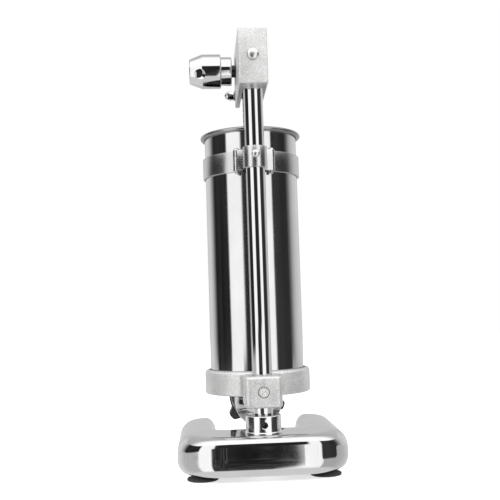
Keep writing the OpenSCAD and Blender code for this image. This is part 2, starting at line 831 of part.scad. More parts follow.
// The saddle wraps the column's back, and its two arms end in eyes on the band's pins
module band_saddle() {
    mid_low = band_z + eye_h + saddle_eye_gap;
    mid_h = eye_h - 2 * saddle_eye_gap;
    color(steel) difference() {
        union() {
            translate([0, column_y, band_z]) cylinder(r = saddle_r, h = band_h);
            translate([-saddle_r, eye_y - 1, band_z]) cube([2 * saddle_r, column_y - eye_y + 1, band_h]);
            translate([-eye_x, eye_y, mid_low]) cube([2 * eye_x, eye_r, mid_h]);
            at_eyes() translate([0, 0, mid_low]) cylinder(r = eye_r, h = mid_h);
            translate([0, 0, band_screw_z]) rod_y(band_pad_r, column_y, column_y + saddle_r + band_pad_t);
        }
        translate([0, column_y, band_z - cut]) cylinder(r = column_bore, h = band_h + 2 * cut);
        translate([-column_bore, axis_y, band_z - cut])
            cube([2 * column_bore, column_y - axis_y, band_h + 2 * cut]);
        translate([0, axis_y, band_z - cut]) cylinder(r = band_r + run, h = band_h + 2 * cut);
        at_eyes() {
            translate([0, 0, band_z - cut]) cylinder(r = eye_pin_r + fit, h = band_h + 2 * cut);
            translate([0, 0, band_z - cut]) cylinder(r = eye_r + run, h = mid_low - band_z + cut);
            translate([0, 0, mid_low + mid_h]) cylinder(r = eye_r + run, h = band_h);
        }
        translate([0, 0, band_screw_z]) rod_y(band_screw_r, column_y, back_y);
    }
}

module band_screw() {
    head_start = column_y + saddle_r + band_pad_t;
    color(steel) translate([0, 0, band_screw_z]) difference() {
        union() {
            rod_y(band_screw_r - fit, column_y + column_bore, head_start + lap);
            translate([0, head_start, 0]) rotate([-90, 0, 0]) dome(band_head_r, band_head_h);
        }
        translate([0, head_start + band_head_h / 2, 0]) rotate([-90, 0, 0]) hexagon(band_hex, band_head_h);
        translate([0, column_y, -band_h / 2]) cylinder(r = column_bore, h = band_h);
    }
}

// ---- head ----

module head() {
    color(casting) difference() {
        translate([0, back_y - head_depth / 2, head_z]) linear_extrude(head_h)
            rounded_plan(head_w, head_depth, head_corner);
        translate([-channel_in, back_y - head_depth - cut, head_z - cut])
            cube([2 * channel_in, channel_back - back_y + head_depth + cut, channel_top - head_z + cut]);
        translate([-rack_w / 2 - slide, rack_front_y - slide, head_z])
            cube([rack_w + 2 * slide, rack_d + rack_tip + 2 * slide, head_h + cut]);
        translate([0, column_y, head_z - cut]) cylinder(r = column_bore, h = head_socket + cut);
        translate([0, shaft_y, shaft_z]) {
            rod_x(bush_r + fit, 0, head_w);
            rod_x(journal_d / 2 + fit, -head_w, 0);
        }
        translate([0, guide_y, guide_z]) rod_x(bolt_r + fit, bolt_skin - head_w / 2, head_w);
        translate([0, 0, head_screw_z]) rod_y(head_screw_r, column_y, back_y + cut);
    }
}

module head_screw() {
    color(steel) translate([0, 0, head_screw_z]) difference() {
        union() {
            rod_y(head_screw_r - fit, column_y + column_r, back_y + lap);
            translate([0, back_y, 0]) rotate([-90, 0, 0]) dome(head_dome_r, head_dome_h);
        }
        translate([0, column_y, -head_h / 2]) cylinder(r = column_bore, h = head_h);
    }
}

module shaft_bush() {
    color(bronze) translate([0, shaft_y, shaft_z]) difference() {
        rod_x(bush_r, channel_in, head_w / 2);
        rod_x(shaft_d / 2 + fit, 0, head_w);
    }
}

// Angle from a tooth's middle to its flank at radius r, along the involute of the base circle
function flank(r) =
    let (base_r = pitch_r * cos(press_angle), roll = sqrt(max(0, pow(r / base_r, 2) - 1)),
        turn = (tan(press_angle) - roll) * 180 / PI - press_angle + atan(roll))
    90 / pinion_teeth - (backlash / pitch_r) * 180 / PI + turn;

module pinion_plan() {
    base_r = pitch_r * cos(press_angle);
    tip = pitch_r + pinion_tip;
    radii = concat([pitch_r - pinion_root], [for (i = [0:6]) base_r + (tip - base_r) * i / 6]);
    last = len(radii) - 1;
    polygon([for (i = [0:pinion_teeth - 1], s = [-1, 1], k = [0:last])
        let (r = radii[s < 0 ? k : last - k], a = 360 * (i + 0.5) / pinion_teeth + s * flank(r))
            [r * cos(a), r * sin(a)]]);
}

// The pinion and its shaft are one piece; a tooth space faces the rack at rest
module pinion() {
    color(dark_steel) translate([0, shaft_y, shaft_z]) difference() {
        union() {
            rotate([0, 90, 0]) linear_extrude(2 * pinion_half, center = true) rotate(-90) pinion_plan();
            rod_x(shaft_d / 2, 0, shaft_end);
            rod_x(journal_d / 2, -head_w / 2 - journal_out, 0);
        }
        translate([pin_x, 0, 0]) cylinder(r = hub_pin_r, h = hub_d, center = true);
    }
}

module crank_hub() {
    collar = hub_collar_d / 2;
    total = hub_end - hub_start;
    color(chrome) translate([0, shaft_y, shaft_z]) difference() {
        translate([hub_start, 0, 0]) rotate([90, 0, 90]) rotate_extrude() polygon([
            [0, 0], [collar - edge, 0], [collar, edge], [collar, hub_collar_l],
            [hub_r - edge, hub_collar_l], [hub_r, hub_collar_l + edge], [hub_r, total - nose_l],
            [nose_d / 2 + edge, total - edge], [nose_d / 2 - edge / 2, total], [0, total]]);
        rod_x(shaft_d / 2 + fit, 0, shaft_end);
        translate([lever_x, 0, 0]) rotate([-90 - lever_tilt, 0, 0]) rotate_extrude() polygon([
            [0, hub_r - lever_depth], [lever_r, hub_r - lever_depth], [lever_r, hub_r - lever_sink],
            [lever_r + 2 * lever_sink, hub_r + lever_sink], [0, hub_r + lever_sink]]);
        translate([pin_x, 0, 0]) cylinder(r = hub_pin_r, h = hub_d, center = true);
    }
}

module hub_pin() {
    color(steel) translate([pin_x, shaft_y, shaft_z])
        cylinder(r = hub_pin_r - fit, h = hub_collar_d - 2 * edge, center = true);
}

// The roller on this bolt keeps the rack in mesh
module guide_bolt() {
    color(steel) translate([0, guide_y, guide_z]) rod_x(bolt_r, bolt_skin - head_w / 2, head_w / 2 + bolt_out);
}

module guide_roller() {
    color(white) translate([0, guide_y, guide_z]) difference() {
        rod_x(roller_r, run - channel_in, channel_in - run);
        rod_x(bolt_r + fit, -head_w, head_w);
    }
}

module guide_washer() {
    color(steel) translate([0, guide_y, guide_z]) difference() {
        rod_x(washer_r, head_w / 2, head_w / 2 + washer_t);
        rod_x(bolt_r + fit, 0, head_w);
    }
}

module acorn_nut() {
    from = head_w / 2 + washer_t;
    color(chrome) translate([0, guide_y, guide_z]) difference() {
        union() {
            translate([from, 0, 0]) rotate([0, 90, 0]) hexagon(washer_r, acorn_hex_h);
            translate([from + acorn_hex_h - lap, 0, 0]) rotate([0, 90, 0]) dome(acorn_r, acorn_dome);
        }
        rod_x(bolt_r + fit, 0, head_w / 2 + bolt_out + slide);
    }
}

// ---- rack and piston ----

module rack() {
    tip_y = rack_line_y + rack_tip;
    root_y = rack_line_y - rack_root;
    half = tooth_pitch / 4 - backlash;
    lean = tan(press_angle);
    tooth = [[root_y, -half - rack_root * lean], [tip_y, rack_tip * lean - half],
        [tip_y, half - rack_tip * lean], [root_y, half + rack_root * lean]];
    color(steel) difference() {
        rotate([90, 0, 90]) linear_extrude(rack_w, center = true) polygon(concat(
            [[rack_front_y, rack_bottom], [tip_y - rack_chamfer, rack_bottom],
                [tip_y - rack_chamfer, first_tooth_z - rack_foot - rack_chamfer],
                [root_y, first_tooth_z - rack_foot]],
            [for (i = [0:rack_teeth - 1], p = tooth) [p[0], first_tooth_z + i * tooth_pitch + p[1]]],
            [[root_y, rack_top - rack_chamfer], [root_y - rack_chamfer, rack_top],
                [rack_front_y + rack_chamfer, rack_top], [rack_front_y, rack_top - rack_chamfer]]));
        translate([0, axis_y, rack_bottom - cut]) cylinder(r = stud_r, h = stud_l + 2 * cut);
    }
}

module piston() {
    color(white) translate([0, axis_y, 0]) difference() {
        union() {
            translate([0, 0, piston_z]) rotate_extrude() polygon([[0, 0], [piston_r - piston_edge, 0],
                [piston_r, piston_edge], [piston_r, piston_h - piston_edge],
                [piston_r - piston_edge, piston_h], [0, piston_h]]);
            translate([0, 0, piston_top - lap]) cylinder(r = neck_r, h = neck_h + lap);
        }
        for (z = groove_zs) translate([0, 0, z]) rotate_extrude()
            translate([seal_centre, 0]) circle(seal_r + fit, $fn = 24);
        translate([-rack_w / 2 - fit, rack_front_y - axis_y - fit, rack_bottom])
            cube([rack_w + 2 * fit, rack_d + rack_tip + 2 * fit, piston_h + neck_h]);
        translate([0, 0, piston_z - cut]) cylinder(r = stud_r + fit, h = piston_h);
        translate([0, 0, piston_z - cut]) cylinder(r = piston_washer_r + 1, h = piston_recess + cut);
    }
}

module piston_seals() {
    color(black) translate([0, axis_y, 0]) for (z = groove_zs) translate([0, 0, z]) rotate_extrude()
        translate([seal_centre, 0]) circle(seal_r, $fn = 24);
}

module piston_washer() {
    color(steel) translate([0, axis_y, piston_z + piston_recess - piston_washer_t]) difference() {
        cylinder(r = piston_washer_r, h = piston_washer_t);
        translate([0, 0, -cut]) cylinder(r = stud_r + fit, h = piston_washer_t + 2 * cut);
    }
}

module piston_screw() {
    color(steel) translate([0, axis_y, piston_z + piston_recess - piston_washer_t]) {
        translate([0, 0, -piston_head_h]) hexagon(piston_head_r, piston_head_h);
        translate([0, 0, -lap]) cylinder(r = stud_r - fit / 2, h = stud_l + lap);
    }
}

base();
feet();
foot_screws();
column();
base_collar();
collar_set_screw();
column_bolt();
column_washer();
cradle();
cradle_screw();
cradle_side_pin();
barrel_tube();
barrel_floor();
spout();
spout_ferrule();
nozzle_seal();
nozzle_disc();
spout_nut();
band();
band_saddle();
band_screw();
band_pins();
head();
head_screw();
shaft_bush();
pinion();
crank_hub();
hub_pin();
guide_bolt();
guide_roller();
guide_washer();
acorn_nut();
rack();
piston();
piston_seals();
piston_washer();
piston_screw();
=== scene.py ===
"""Finishes and detailed surfaces of an upright dough press with a crank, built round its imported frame.

All sizes here are millimetres in the frame's own axes: +Z up, the nozzle towards -Y, the crank on +X.
Every surface is worked out as whole arrays and becomes metres when its mesh is made.
"""

from __future__ import annotations

import logging
import math
from dataclasses import dataclass, fields
from enum import Enum

import bmesh
import bpy
import numpy as np
from mathutils import Matrix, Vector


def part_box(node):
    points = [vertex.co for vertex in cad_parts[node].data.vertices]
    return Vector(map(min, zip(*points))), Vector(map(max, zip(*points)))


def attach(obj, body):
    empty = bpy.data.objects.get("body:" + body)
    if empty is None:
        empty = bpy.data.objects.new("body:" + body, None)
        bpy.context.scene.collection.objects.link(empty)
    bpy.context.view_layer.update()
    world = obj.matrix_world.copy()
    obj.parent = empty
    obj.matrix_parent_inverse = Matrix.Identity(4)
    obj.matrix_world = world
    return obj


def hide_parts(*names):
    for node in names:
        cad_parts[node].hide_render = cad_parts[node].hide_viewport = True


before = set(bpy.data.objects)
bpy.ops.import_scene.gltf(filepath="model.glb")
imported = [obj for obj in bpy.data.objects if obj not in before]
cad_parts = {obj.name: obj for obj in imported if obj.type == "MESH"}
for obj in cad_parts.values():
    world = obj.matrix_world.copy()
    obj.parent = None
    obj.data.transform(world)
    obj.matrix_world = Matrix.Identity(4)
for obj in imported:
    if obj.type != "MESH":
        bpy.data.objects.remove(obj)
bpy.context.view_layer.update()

LOG = logging.getLogger("dough_press")
MM = 0.001
WELD = 2e-7
NOISE_MIDDLE = (0.3, 0.7)
RGB = tuple[float, float, float]
Pair = tuple[float, float]
Level = float | bpy.types.NodeSocket


# ---------------------------------------------------------------- shapes


class Axis(Enum):
    """Direction in which a turned piece's own axis points."""

    UP = ((1, 0, 0), (0, 1, 0), (0, 0, 1))
    RIGHT = ((0, 0, 1), (1, 0, 0), (0, 1, 0))
    FRONT = ((1, 0, 0), (0, 0, -1), (0, 1, 0))
    BACK = ((-1, 0, 0), (0, 0, 1), (0, 1, 0))

    def matrix(self) -> np.ndarray:
        """The 3 by 3 matrix whose columns are the turned piece's own axes."""
        return np.array(self.value, float)


class Cut(Enum):
    """How one solid acts on another."""

    TAKE_AWAY = "DIFFERENCE"
    JOIN = "UNION"


@dataclass
class Surface:
    """A grid of points, rows by columns, with its edges joined or capped as asked."""

    points: np.ndarray
    wrap_rows: bool = False
    wrap_columns: bool = True
    cap_first: bool = False
    cap_last: bool = False

    def placed(self, origin: tuple[float, float, float], axis: Axis = Axis.UP) -> Surface:
        """A copy turned so that its own +Z points along the axis, then moved to the origin given.

        Args:
            origin: where the surface's own zero goes.
            axis: the direction that its own +Z takes.

        Returns:
            The placed surface.
        """
        points = self.points @ axis.matrix().T + np.array(origin, float)
        return Surface(points, self.wrap_rows, self.wrap_columns, self.cap_first, self.cap_last)

    def faces(self, first: int) -> list[list[int]]:
        """Quads between neighbouring grid points, and a cap over an open end where asked.

        Args:
            first: the index of the grid's first point in the mesh.

        Returns:
            The faces as lists of point indices.
        """
        rows, columns = self.points.shape[:2]
        index = np.arange(rows * columns).reshape(rows, columns) + first
        if self.wrap_rows:
            index = np.vstack([index, index[:1]])
        if self.wrap_columns:
            index = np.hstack([index, index[:, :1]])
        quads = np.stack([index[:-1, :-1], index[:-1, 1:], index[1:, 1:], index[1:, :-1]], axis=-1)
        found = quads.reshape(-1, 4).tolist()
        if self.cap_first:
            found.append(index[0, :columns].tolist())
        if self.cap_last:
            found.append(index[-1, :columns].tolist())
        return found


def arc(centre: tuple[float, float], radius: float, start: float, stop: float, steps: int) -> np.ndarray:
    """Points along a circle's arc: the centre plus the radius times the cosine and sine of each angle.

    Args:
        centre: the circle's centre.
        radius: its radius.
        start: the first angle in degrees.
        stop: the last angle in degrees.
        steps: how many steps the arc has.

    Returns:
        An array of steps + 1 points.
    """
    angle = np.radians(np.linspace(start, stop, steps + 1))
    return np.column_stack([centre[0] + radius * np.cos(angle), centre[1] + radius * np.sin(angle)])


def line(start: tuple[float, float], stop: tuple[float, float], steps: int) -> np.ndarray:
    """Evenly spaced points from start to stop, as an array of steps + 1 points."""
    return np.linspace(start, stop, steps + 1)


def rounded(corners: list[tuple[float, float, float]], closed: bool = True, steps: int = 5) -> np.ndarray:
    """An outline whose corners are arcs.

    Each corner of radius r is cut back along both sides by r over the tangent of half its angle, and a
    quadratic curve through the corner's own control point joins the two cuts.

    Args:
        corners: x, y and radius of each corner.
        closed: whether the last corner joins the first.
        steps: points on each arc.

    Returns:
        The outline's points.
    """
    data = np.array(corners, float)
    parts = []
    for i, (x, y, radius) in enumerate(data):
        ends = not closed and i in (0, len(data) - 1)
        here = np.array([x, y])
        if ends or radius <= 0:
            parts.append(here[None])
            continue
        before = data[i - 1, :2] - here
        after = data[(i + 1) % len(data), :2] - here
        before /= np.linalg.norm(before)
        after /= np.linalg.norm(after)
        half = math.acos(float(np.clip(before @ after, -1, 1))) / 2
        middle = (before + after) / np.linalg.norm(before + after)
        centre = here + middle * radius / math.sin(half)
        start = before * radius / math.tan(half) + here - centre
        stop = after * radius / math.tan(half) + here - centre
        share = np.linspace(0, 1, steps + 1)[:, None]
        mixed = start * (1 - share) + stop * share
        parts.append(centre + mixed / np.linalg.norm(mixed, axis=1, keepdims=True) * radius)
    return np.vstack(parts)


def lathe(profile: np.ndarray, segments: int = 96, closed: bool = False) -> Surface:
    """A surface of revolution: each profile point (radius, height) is carried once round the Z axis.

    Args:
        profile: radius and height of each profile point.
        segments: how many columns go round.
        closed: whether the profile's last point joins its first.

    Returns:
        The grid, one row per profile point.
    """
    turn = 2 * math.pi * np.arange(segments) / segments
    radius, height = profile[:, :1], profile[:, 1:]
    points = np.stack([radius * np.cos(turn), radius * np.sin(turn), height + 0 * turn], axis=-1)
    return Surface(points, wrap_rows=closed)


def rod(radius: float, start: float, stop: float, edge: float = 0.0, segments: int = 64) -> Surface:
    """A closed round bar along +Z, from start to stop, with rounded rims of radius edge."""
    corners = [(0, start, 0), (radius, start, edge), (radius, stop, edge), (0, stop, 0)]
    return lathe(rounded(corners, closed=False), segments)


def dome(radius: float, height: float, base: float = 0.0, power: float = 2.0) -> Surface:
    """A domed head: a quarter of a superellipse, carried round the Z axis.

    Its radius and height at an angle are the cosine and the sine, each raised to two over the power.

    Args:
        radius: radius of the head.
        height: its height.
        base: where it starts.
        power: 2 for an ellipse, less for a steeper crown.

    Returns:
        The closed surface.
    """
    angle = np.linspace(0, math.pi / 2, 16)
    share = np.column_stack([np.cos(angle), np.sin(angle)]).clip(0, 1) ** (2 / power)
    profile = share * (radius, height) + (0, base)
    return lathe(np.vstack([[0, base], profile]), 64)


def prism(outline: np.ndarray, low: float, high: float, edge: float, steps: int = 4) -> Surface:
    """A flat outline carried up from low to high, with both rims rounded by a quarter circle.

    A row at angle a of the rim lies edge times one minus the sine of a inside the outline, along the
    outline's own normals, which are the mean of the normals of the two sides that meet at a point.

    Args:
        outline: the closed outline, counter-clockwise.
        low: height of the lower face.
        high: height of the upper face.
        edge: radius of the rims.
        steps: rows on each rim.

    Returns:
        The closed surface.
    """
    side = np.roll(outline, -1, axis=0) - outline
    side /= np.linalg.norm(side, axis=1, keepdims=True)
    across = np.column_stack([side[:, 1], -side[:, 0]])
    normal = across + np.roll(across, 1, axis=0)
    normal /= np.sum(normal * normal, axis=1, keepdims=True) / 2
    angle = np.linspace(0, math.pi / 2, steps + 1)
    inset = edge * (1 - np.sin(angle))
    rise = edge * (1 - np.cos(angle))
    insets = np.concatenate([inset, inset[::-1]])
    heights = np.concatenate([low + rise, high - rise[::-1]])
    flat = outline[None] - insets[:, None, None] * normal[None]
    points = np.concatenate([flat, np.broadcast_to(heights[:, None, None], flat.shape[:2] + (1,))], axis=2)
    return Surface(points, cap_first=True, cap_last=True)


def box(low: tuple[float, float, float], high: tuple[float, float, float]) -> Surface:
    """A sharp box between two corners."""
    outline = np.array([(low[0], low[1]), (high[0], low[1]), (high[0], high[1]), (low[0], high[1])], float)
    return prism(outline, low[2], high[2], 0.0, 1)


def strip(path: np.ndarray, thickness: float, low: float, high: float, edge: float) -> Surface:
    """A bent strip of sheet: an upright section with rounded rims, carried along a flat open path.

    At each path point the section lies across the path, half its thickness to either side.

    Args:
        path: the open path of the strip's middle.
        thickness: thickness of the sheet.
        low: height of its lower edge.
        high: height of its upper edge.
        edge: rounding of its edges.

    Returns:
        The closed surface.
    """
    run = np.gradient(path, axis=0)
    run /= np.linalg.norm(run, axis=1, keepdims=True)
    across = np.column_stack([run[:, 1], -run[:, 0]])
    half = thickness / 2
    section = rounded([(-half, low, edge), (half, low, edge), (half, high, edge), (-half, high, edge)], steps=3)
    flat = path[:, None] + section[None, :, :1] * across[:, None]
    height = np.broadcast_to(section[None, :, 1:], flat.shape[:2] + (1,))
    return Surface(np.concatenate([flat, height], axis=2), cap_first=True, cap_last=True)


def hexagon_bar(across: float, start: float, stop: float, chamfer: float, segments: int = 72) -> Surface:
    """A hexagonal bar along +Z, whose corners are cut by a cone at its far end.

    The radius at angle a is half the width across the flats, over the cosine of a's distance from the
    nearest flat's middle. The last rows keep the smaller of that and the cone's radius.

    Args:
        across: width across the flats.
        start: where the bar starts.
        stop: where it stops.
        chamfer: how far the corners are cut back.
        segments: how many columns go round.

    Returns:
        The closed surface.
    """
    turn = 2 * math.pi * np.arange(segments) / segments
    off = np.mod(turn, math.pi / 3) - math.pi / 6
    flat = across / 2 / np.cos(off)
    corner = across / math.sqrt(3)
    rows = [(start, corner), (stop - chamfer, corner), (stop - chamfer / 2, corner - chamfer / 2),
            (stop, corner - chamfer)]
    radii = np.array([np.minimum(flat, limit) for _, limit in rows])
    height = np.array([z for z, _ in rows])[:, None] + 0 * turn
    points = np.stack([radii * np.cos(turn), radii * np.sin(turn), height], axis=-1)
    return Surface(points, cap_first=True, cap_last=True)


def both_halves(half: np.ndarray) -> np.ndarray:
    """An outline's right half, then its mirror image across X = 0 in the opposite order."""
    return np.vstack([half, half[::-1] * np.array([-1.0, 1.0])])


def smooth_step(share: np.ndarray) -> np.ndarray:
    """Three times the square less twice the cube of a share held between 0 and 1."""
    held = np.clip(share, 0, 1)
    return held * held * (3 - 2 * held)


def solid(name: str, surfaces: list[Surface], sharp: float = 35.0) -> bpy.types.Object:
    """One mesh object from several surfaces, with doubles merged and faces pointing outwards.

    Args:
        name: the object's name.
        surfaces: the grids that make it, in millimetres.
        sharp: edges that turn by more than this many degrees stay sharp.

    Returns:
        The object, linked to the scene, at the origin.
    """
    points, faces, count = [], [], 0
    for surface in surfaces:
        points.append(surface.points.reshape(-1, 3))
        faces.extend(surface.faces(count))
        count += len(points[-1])
    mesh = bpy.data.meshes.new(name)
    mesh.from_pydata(np.vstack(points) * MM, [], faces)
    shape = bmesh.new()
    shape.from_mesh(mesh)
    bmesh.ops.remove_doubles(shape, verts=shape.verts, dist=WELD)
    bmesh.ops.recalc_face_normals(shape, faces=shape.faces)
    shape.to_mesh(mesh)
    shape.free()
    shade(mesh, sharp)
    made = bpy.data.objects.new(name, mesh)
    bpy.context.scene.collection.objects.link(made)
    return made


def shade(mesh: bpy.types.Mesh, sharp: float) -> None:
    """Smooth shading with edges sharper than the given angle in degrees left crisp."""
    mesh.polygons.foreach_set("use_smooth", np.ones(len(mesh.polygons), bool))
    mesh.set_sharp_from_angle(angle=math.radians(sharp))


def carve(target: bpy.types.Object, tools: list[tuple[Cut, Surface | bpy.types.Object]],
          sharp: float = 35.0) -> None:
    """Applies solids to a target one after another, and removes them.

    Args:
        target: the object to change.
        tools: what each solid does, and the solid or its closed surface.
        sharp: edges that turn by more than this many degrees stay sharp.
    """
    solids = [tool if isinstance(tool, bpy.types.Object) else solid("tool", [tool]) for _, tool in tools]
    for (cut, _), tool in zip(tools, solids):
        step = target.modifiers.new(tool.name, "BOOLEAN")
        step.operation = cut.value
        step.solver = "EXACT"
        step.object = tool
    graph = bpy.context.evaluated_depsgraph_get()
    mesh = bpy.data.meshes.new_from_object(target.evaluated_get(graph))
    target.modifiers.clear()
    target.data = mesh
    shade(mesh, sharp)
    for tool in solids:
        bpy.data.objects.remove(tool)


# ---------------------------------------------------------------- finishes


class NodeSheet:
    """A node tree that is written as calls."""

    def __init__(self, tree: bpy.types.NodeTree) -> None:
        """Starts with an empty tree."""
        self.tree = tree
        tree.nodes.clear()

    def add(self, kind: str, settings: dict | None = None, inputs: dict | None = None) -> bpy.types.Node:
        """One node with its settings and inputs.

        Args:
            kind: the name of the node's class.
            settings: the node's own settings.
            inputs: values or other nodes' sockets for its inputs, by name or number.

        Returns:
            The node.
        """
        node = self.tree.nodes.new(kind)
        for key, value in (settings or {}).items():
            setattr(node, key, value)
        self.fill(node, inputs or {})
        return node

    def fill(self, node: bpy.types.Node, inputs: dict) -> None:
        """Puts values and links into a node's inputs.

        Args:
            node: the node.
            inputs: values or other nodes' sockets, by the input's name or number.
        """
        for key, value in inputs.items():
            if isinstance(value, bpy.types.NodeSocket):
                self.tree.links.new(value, node.inputs[key])
            else:
                node.inputs[key].default_value = value

    def math(self, operation: str, *values: Level) -> bpy.types.NodeSocket:
        """The result of one Math node."""
        node = self.add("ShaderNodeMath", {"operation": operation}, dict(enumerate(values)))
        return node.outputs[0]

    def noise(self, scale: RGB, detail: float, roughness: float = 0.5) -> bpy.types.NodeSocket:
        """Noise on Object coordinates, stretched by a scale per metre along each axis.

        Args:
            scale: waves per metre along X, Y and Z.
            detail: octaves of the noise.
            roughness: how strong the finer octaves are.

        Returns:
            The noise's value, from 0 to 1.
        """
        place = self.add("ShaderNodeTexCoord").outputs["Object"]
        mapping = self.add("ShaderNodeMapping", inputs={"Vector": place, "Scale": scale})
        inputs = {"Vector": mapping.outputs[0], "Scale": 1.0, "Detail": detail, "Roughness": roughness}
        return self.add("ShaderNodeTexNoise", inputs=inputs).outputs[0]

    def carry(self, value: bpy.types.NodeSocket, start: Pair, stop: Pair = (0.0, 1.0)) -> bpy.types.NodeSocket:
        """A value carried in proportion from one range to another, and held at its ends."""
        inputs = {"Value": value, "From Min": start[0], "From Max": start[1], "To Min": stop[0], "To Max": stop[1]}
        return self.add("ShaderNodeMapRange", inputs=inputs).outputs[0]

    def spread(self, value: bpy.types.NodeSocket, low: float, high: float) -> bpy.types.NodeSocket:
        """A noise value, whose middle part is stretched to the range from low to high."""
        return self.carry(value, NOISE_MIDDLE, (low, high))

    def tint(self, share: bpy.types.NodeSocket, first: RGB, second: RGB) -> bpy.types.NodeSocket:
        """A colour between two, by a share from 0 to 1; a Mix node's colours are its sockets 6 and 7."""
        inputs = {0: share, 6: (*first, 1.0), 7: (*second, 1.0)}
        return self.add("ShaderNodeMix", {"data_type": "RGBA"}, inputs).outputs[2]

    def blend(self, share: bpy.types.NodeSocket, first: Level, second: Level) -> bpy.types.NodeSocket:
        """A number between two, by a share from 0 to 1; a Mix node's numbers are its sockets 2 and 3."""
        return self.add("ShaderNodeMix", {"data_type": "FLOAT"}, {0: share, 2: first, 3: second}).outputs[0]

    def bump(self, height: bpy.types.NodeSocket, strength: float, depth: float,
             under: bpy.types.NodeSocket | None = None) -> bpy.types.NodeSocket:
        """A normal that a height map bends.

        Args:
            height: the height map.
            strength: how much of the bend is used.
            depth: the map's depth in metres.
            under: another normal that it starts from.

        Returns:
            The normal.
        """
        inputs = {"Height": height, "Strength": strength, "Distance": depth}
        if under is not None:
            inputs["Normal"] = under
        return self.add("ShaderNodeBump", inputs=inputs).outputs[0]


@dataclass(frozen=True)
class Finish:
    """What every finish has: its name, its two tones, its roughness, and a material made once."""

    name: str
    light: RGB
    dark: RGB
    roughness: float

    def material(self) -> bpy.types.Material:
        """The finish's material, made at its first use.

        Returns:
            The material.
        """
        found = bpy.data.materials.get(self.name)
        if found is not None:
            return found
        made = bpy.data.materials.new(self.name)
        made.use_nodes = True
        sheet = NodeSheet(made.node_tree)
        shader = sheet.add("ShaderNodeBsdfPrincipled")
        sheet.add("ShaderNodeOutputMaterial", inputs={"Surface": shader.outputs[0]})
        sheet.fill(shader, self.describe(sheet))
        return made

    def describe(self, sheet: NodeSheet) -> dict:
        """The shader's inputs; each finish says its own."""
        raise NotImplementedError

    def colour(self, sheet: NodeSheet, share: bpy.types.NodeSocket) -> bpy.types.NodeSocket:
        """The finish's colour, between its two tones by a noise value."""
        return sheet.tint(sheet.spread(share, 0.0, 1.0), self.dark, self.light)


@dataclass(frozen=True)
class Metal(Finish):
    """Bare or plated metal with a directional grain, faint wipe marks and a little unevenness."""

    roughness_spread: float
    grain: RGB
    grain_strength: float
    wave_strength: float = 0.0
    wipe: RGB = (38.0, 38.0, 21.0)
    wave: RGB = (26.0, 26.0, 17.0)
    grain_depth: float = 2e-5
    wave_depth: float = 4e-4

    def describe(self, sheet: NodeSheet) -> dict:
        """Grain lines and wipe marks drive the roughness, and both bend the surface slightly.

        Args:
            sheet: the material's node sheet.

        Returns:
            The shader's inputs by name.
        """
        grain, wipe = sheet.noise(self.grain, 4.0, 0.6), sheet.noise(self.wipe, 5.0, 0.62)
        mixed = sheet.math("MULTIPLY_ADD", grain, 0.6, sheet.math("MULTIPLY", wipe, 0.4))
        low, high = self.roughness - self.roughness_spread, self.roughness + self.roughness_spread
        normal = sheet.bump(grain, self.grain_strength, self.grain_depth)
        if self.wave_strength:
            normal = sheet.bump(sheet.noise(self.wave, 1.0), self.wave_strength, self.wave_depth, normal)
        return {"Base Color": self.colour(sheet, wipe), "Metallic": 1.0,
                "Roughness": sheet.spread(mixed, low, high), "Normal": normal}


@dataclass(frozen=True)
class Casting(Finish):
    """Blasted light metal: an even satin grey with fine pits and soft cloudy patches."""

    metallic: float
    sand: float
    pit_depth: float = 3e-4
    patches: float = 60.0
    spread: float = 0.06

    def describe(self, sheet: NodeSheet) -> dict:
        """Grains of sand in two sizes make the bump, and patches shift the colour and the roughness.

        Args:
            sheet: the material's node sheet.

        Returns:
            The shader's inputs by name.
        """
        fine = sheet.noise((self.sand,) * 3, 3.0, 0.7)
        coarse = sheet.noise((self.sand / 3.5,) * 3, 2.0)
        patch = sheet.noise((self.patches,) * 3, 4.0, 0.6)
        share = sheet.math("MULTIPLY_ADD", fine, 0.7, sheet.math("MULTIPLY", patch, 0.3))
        under = sheet.bump(coarse, 0.4, self.pit_depth)
        return {"Base Color": self.colour(sheet, share), "Metallic": self.metallic,
                "Roughness": sheet.spread(patch, self.roughness - self.spread, self.roughness + self.spread),
                "Normal": sheet.bump(fine, 0.8, self.pit_depth, under)}


@dataclass(frozen=True)
class Moulding(Finish):
    """Moulded plastic or rubber with a fine eroded texture and slightly paler rubbed patches."""

    texture: float
    depth: float
    specular: float = 0.5
    patches: float = 90.0
    spread: float = 0.07

    def describe(self, sheet: NodeSheet) -> dict:
        """Cells of the mould's texture make the bump, and rubbed patches shift colour and roughness.

        Args:
            sheet: the material's node sheet.

        Returns:
            The shader's inputs by name.
        """
        fine = sheet.noise((self.texture,) * 3, 4.0, 0.6)
        rubbed = sheet.noise((self.patches,) * 3, 4.0)
        return {"Base Color": self.colour(sheet, rubbed), "Metallic": 0.0, "Specular IOR Level": self.specular,
                "Roughness": sheet.spread(rubbed, self.roughness + self.spread, self.roughness - self.spread),
                "Normal": sheet.bump(fine, 0.5, self.depth)}


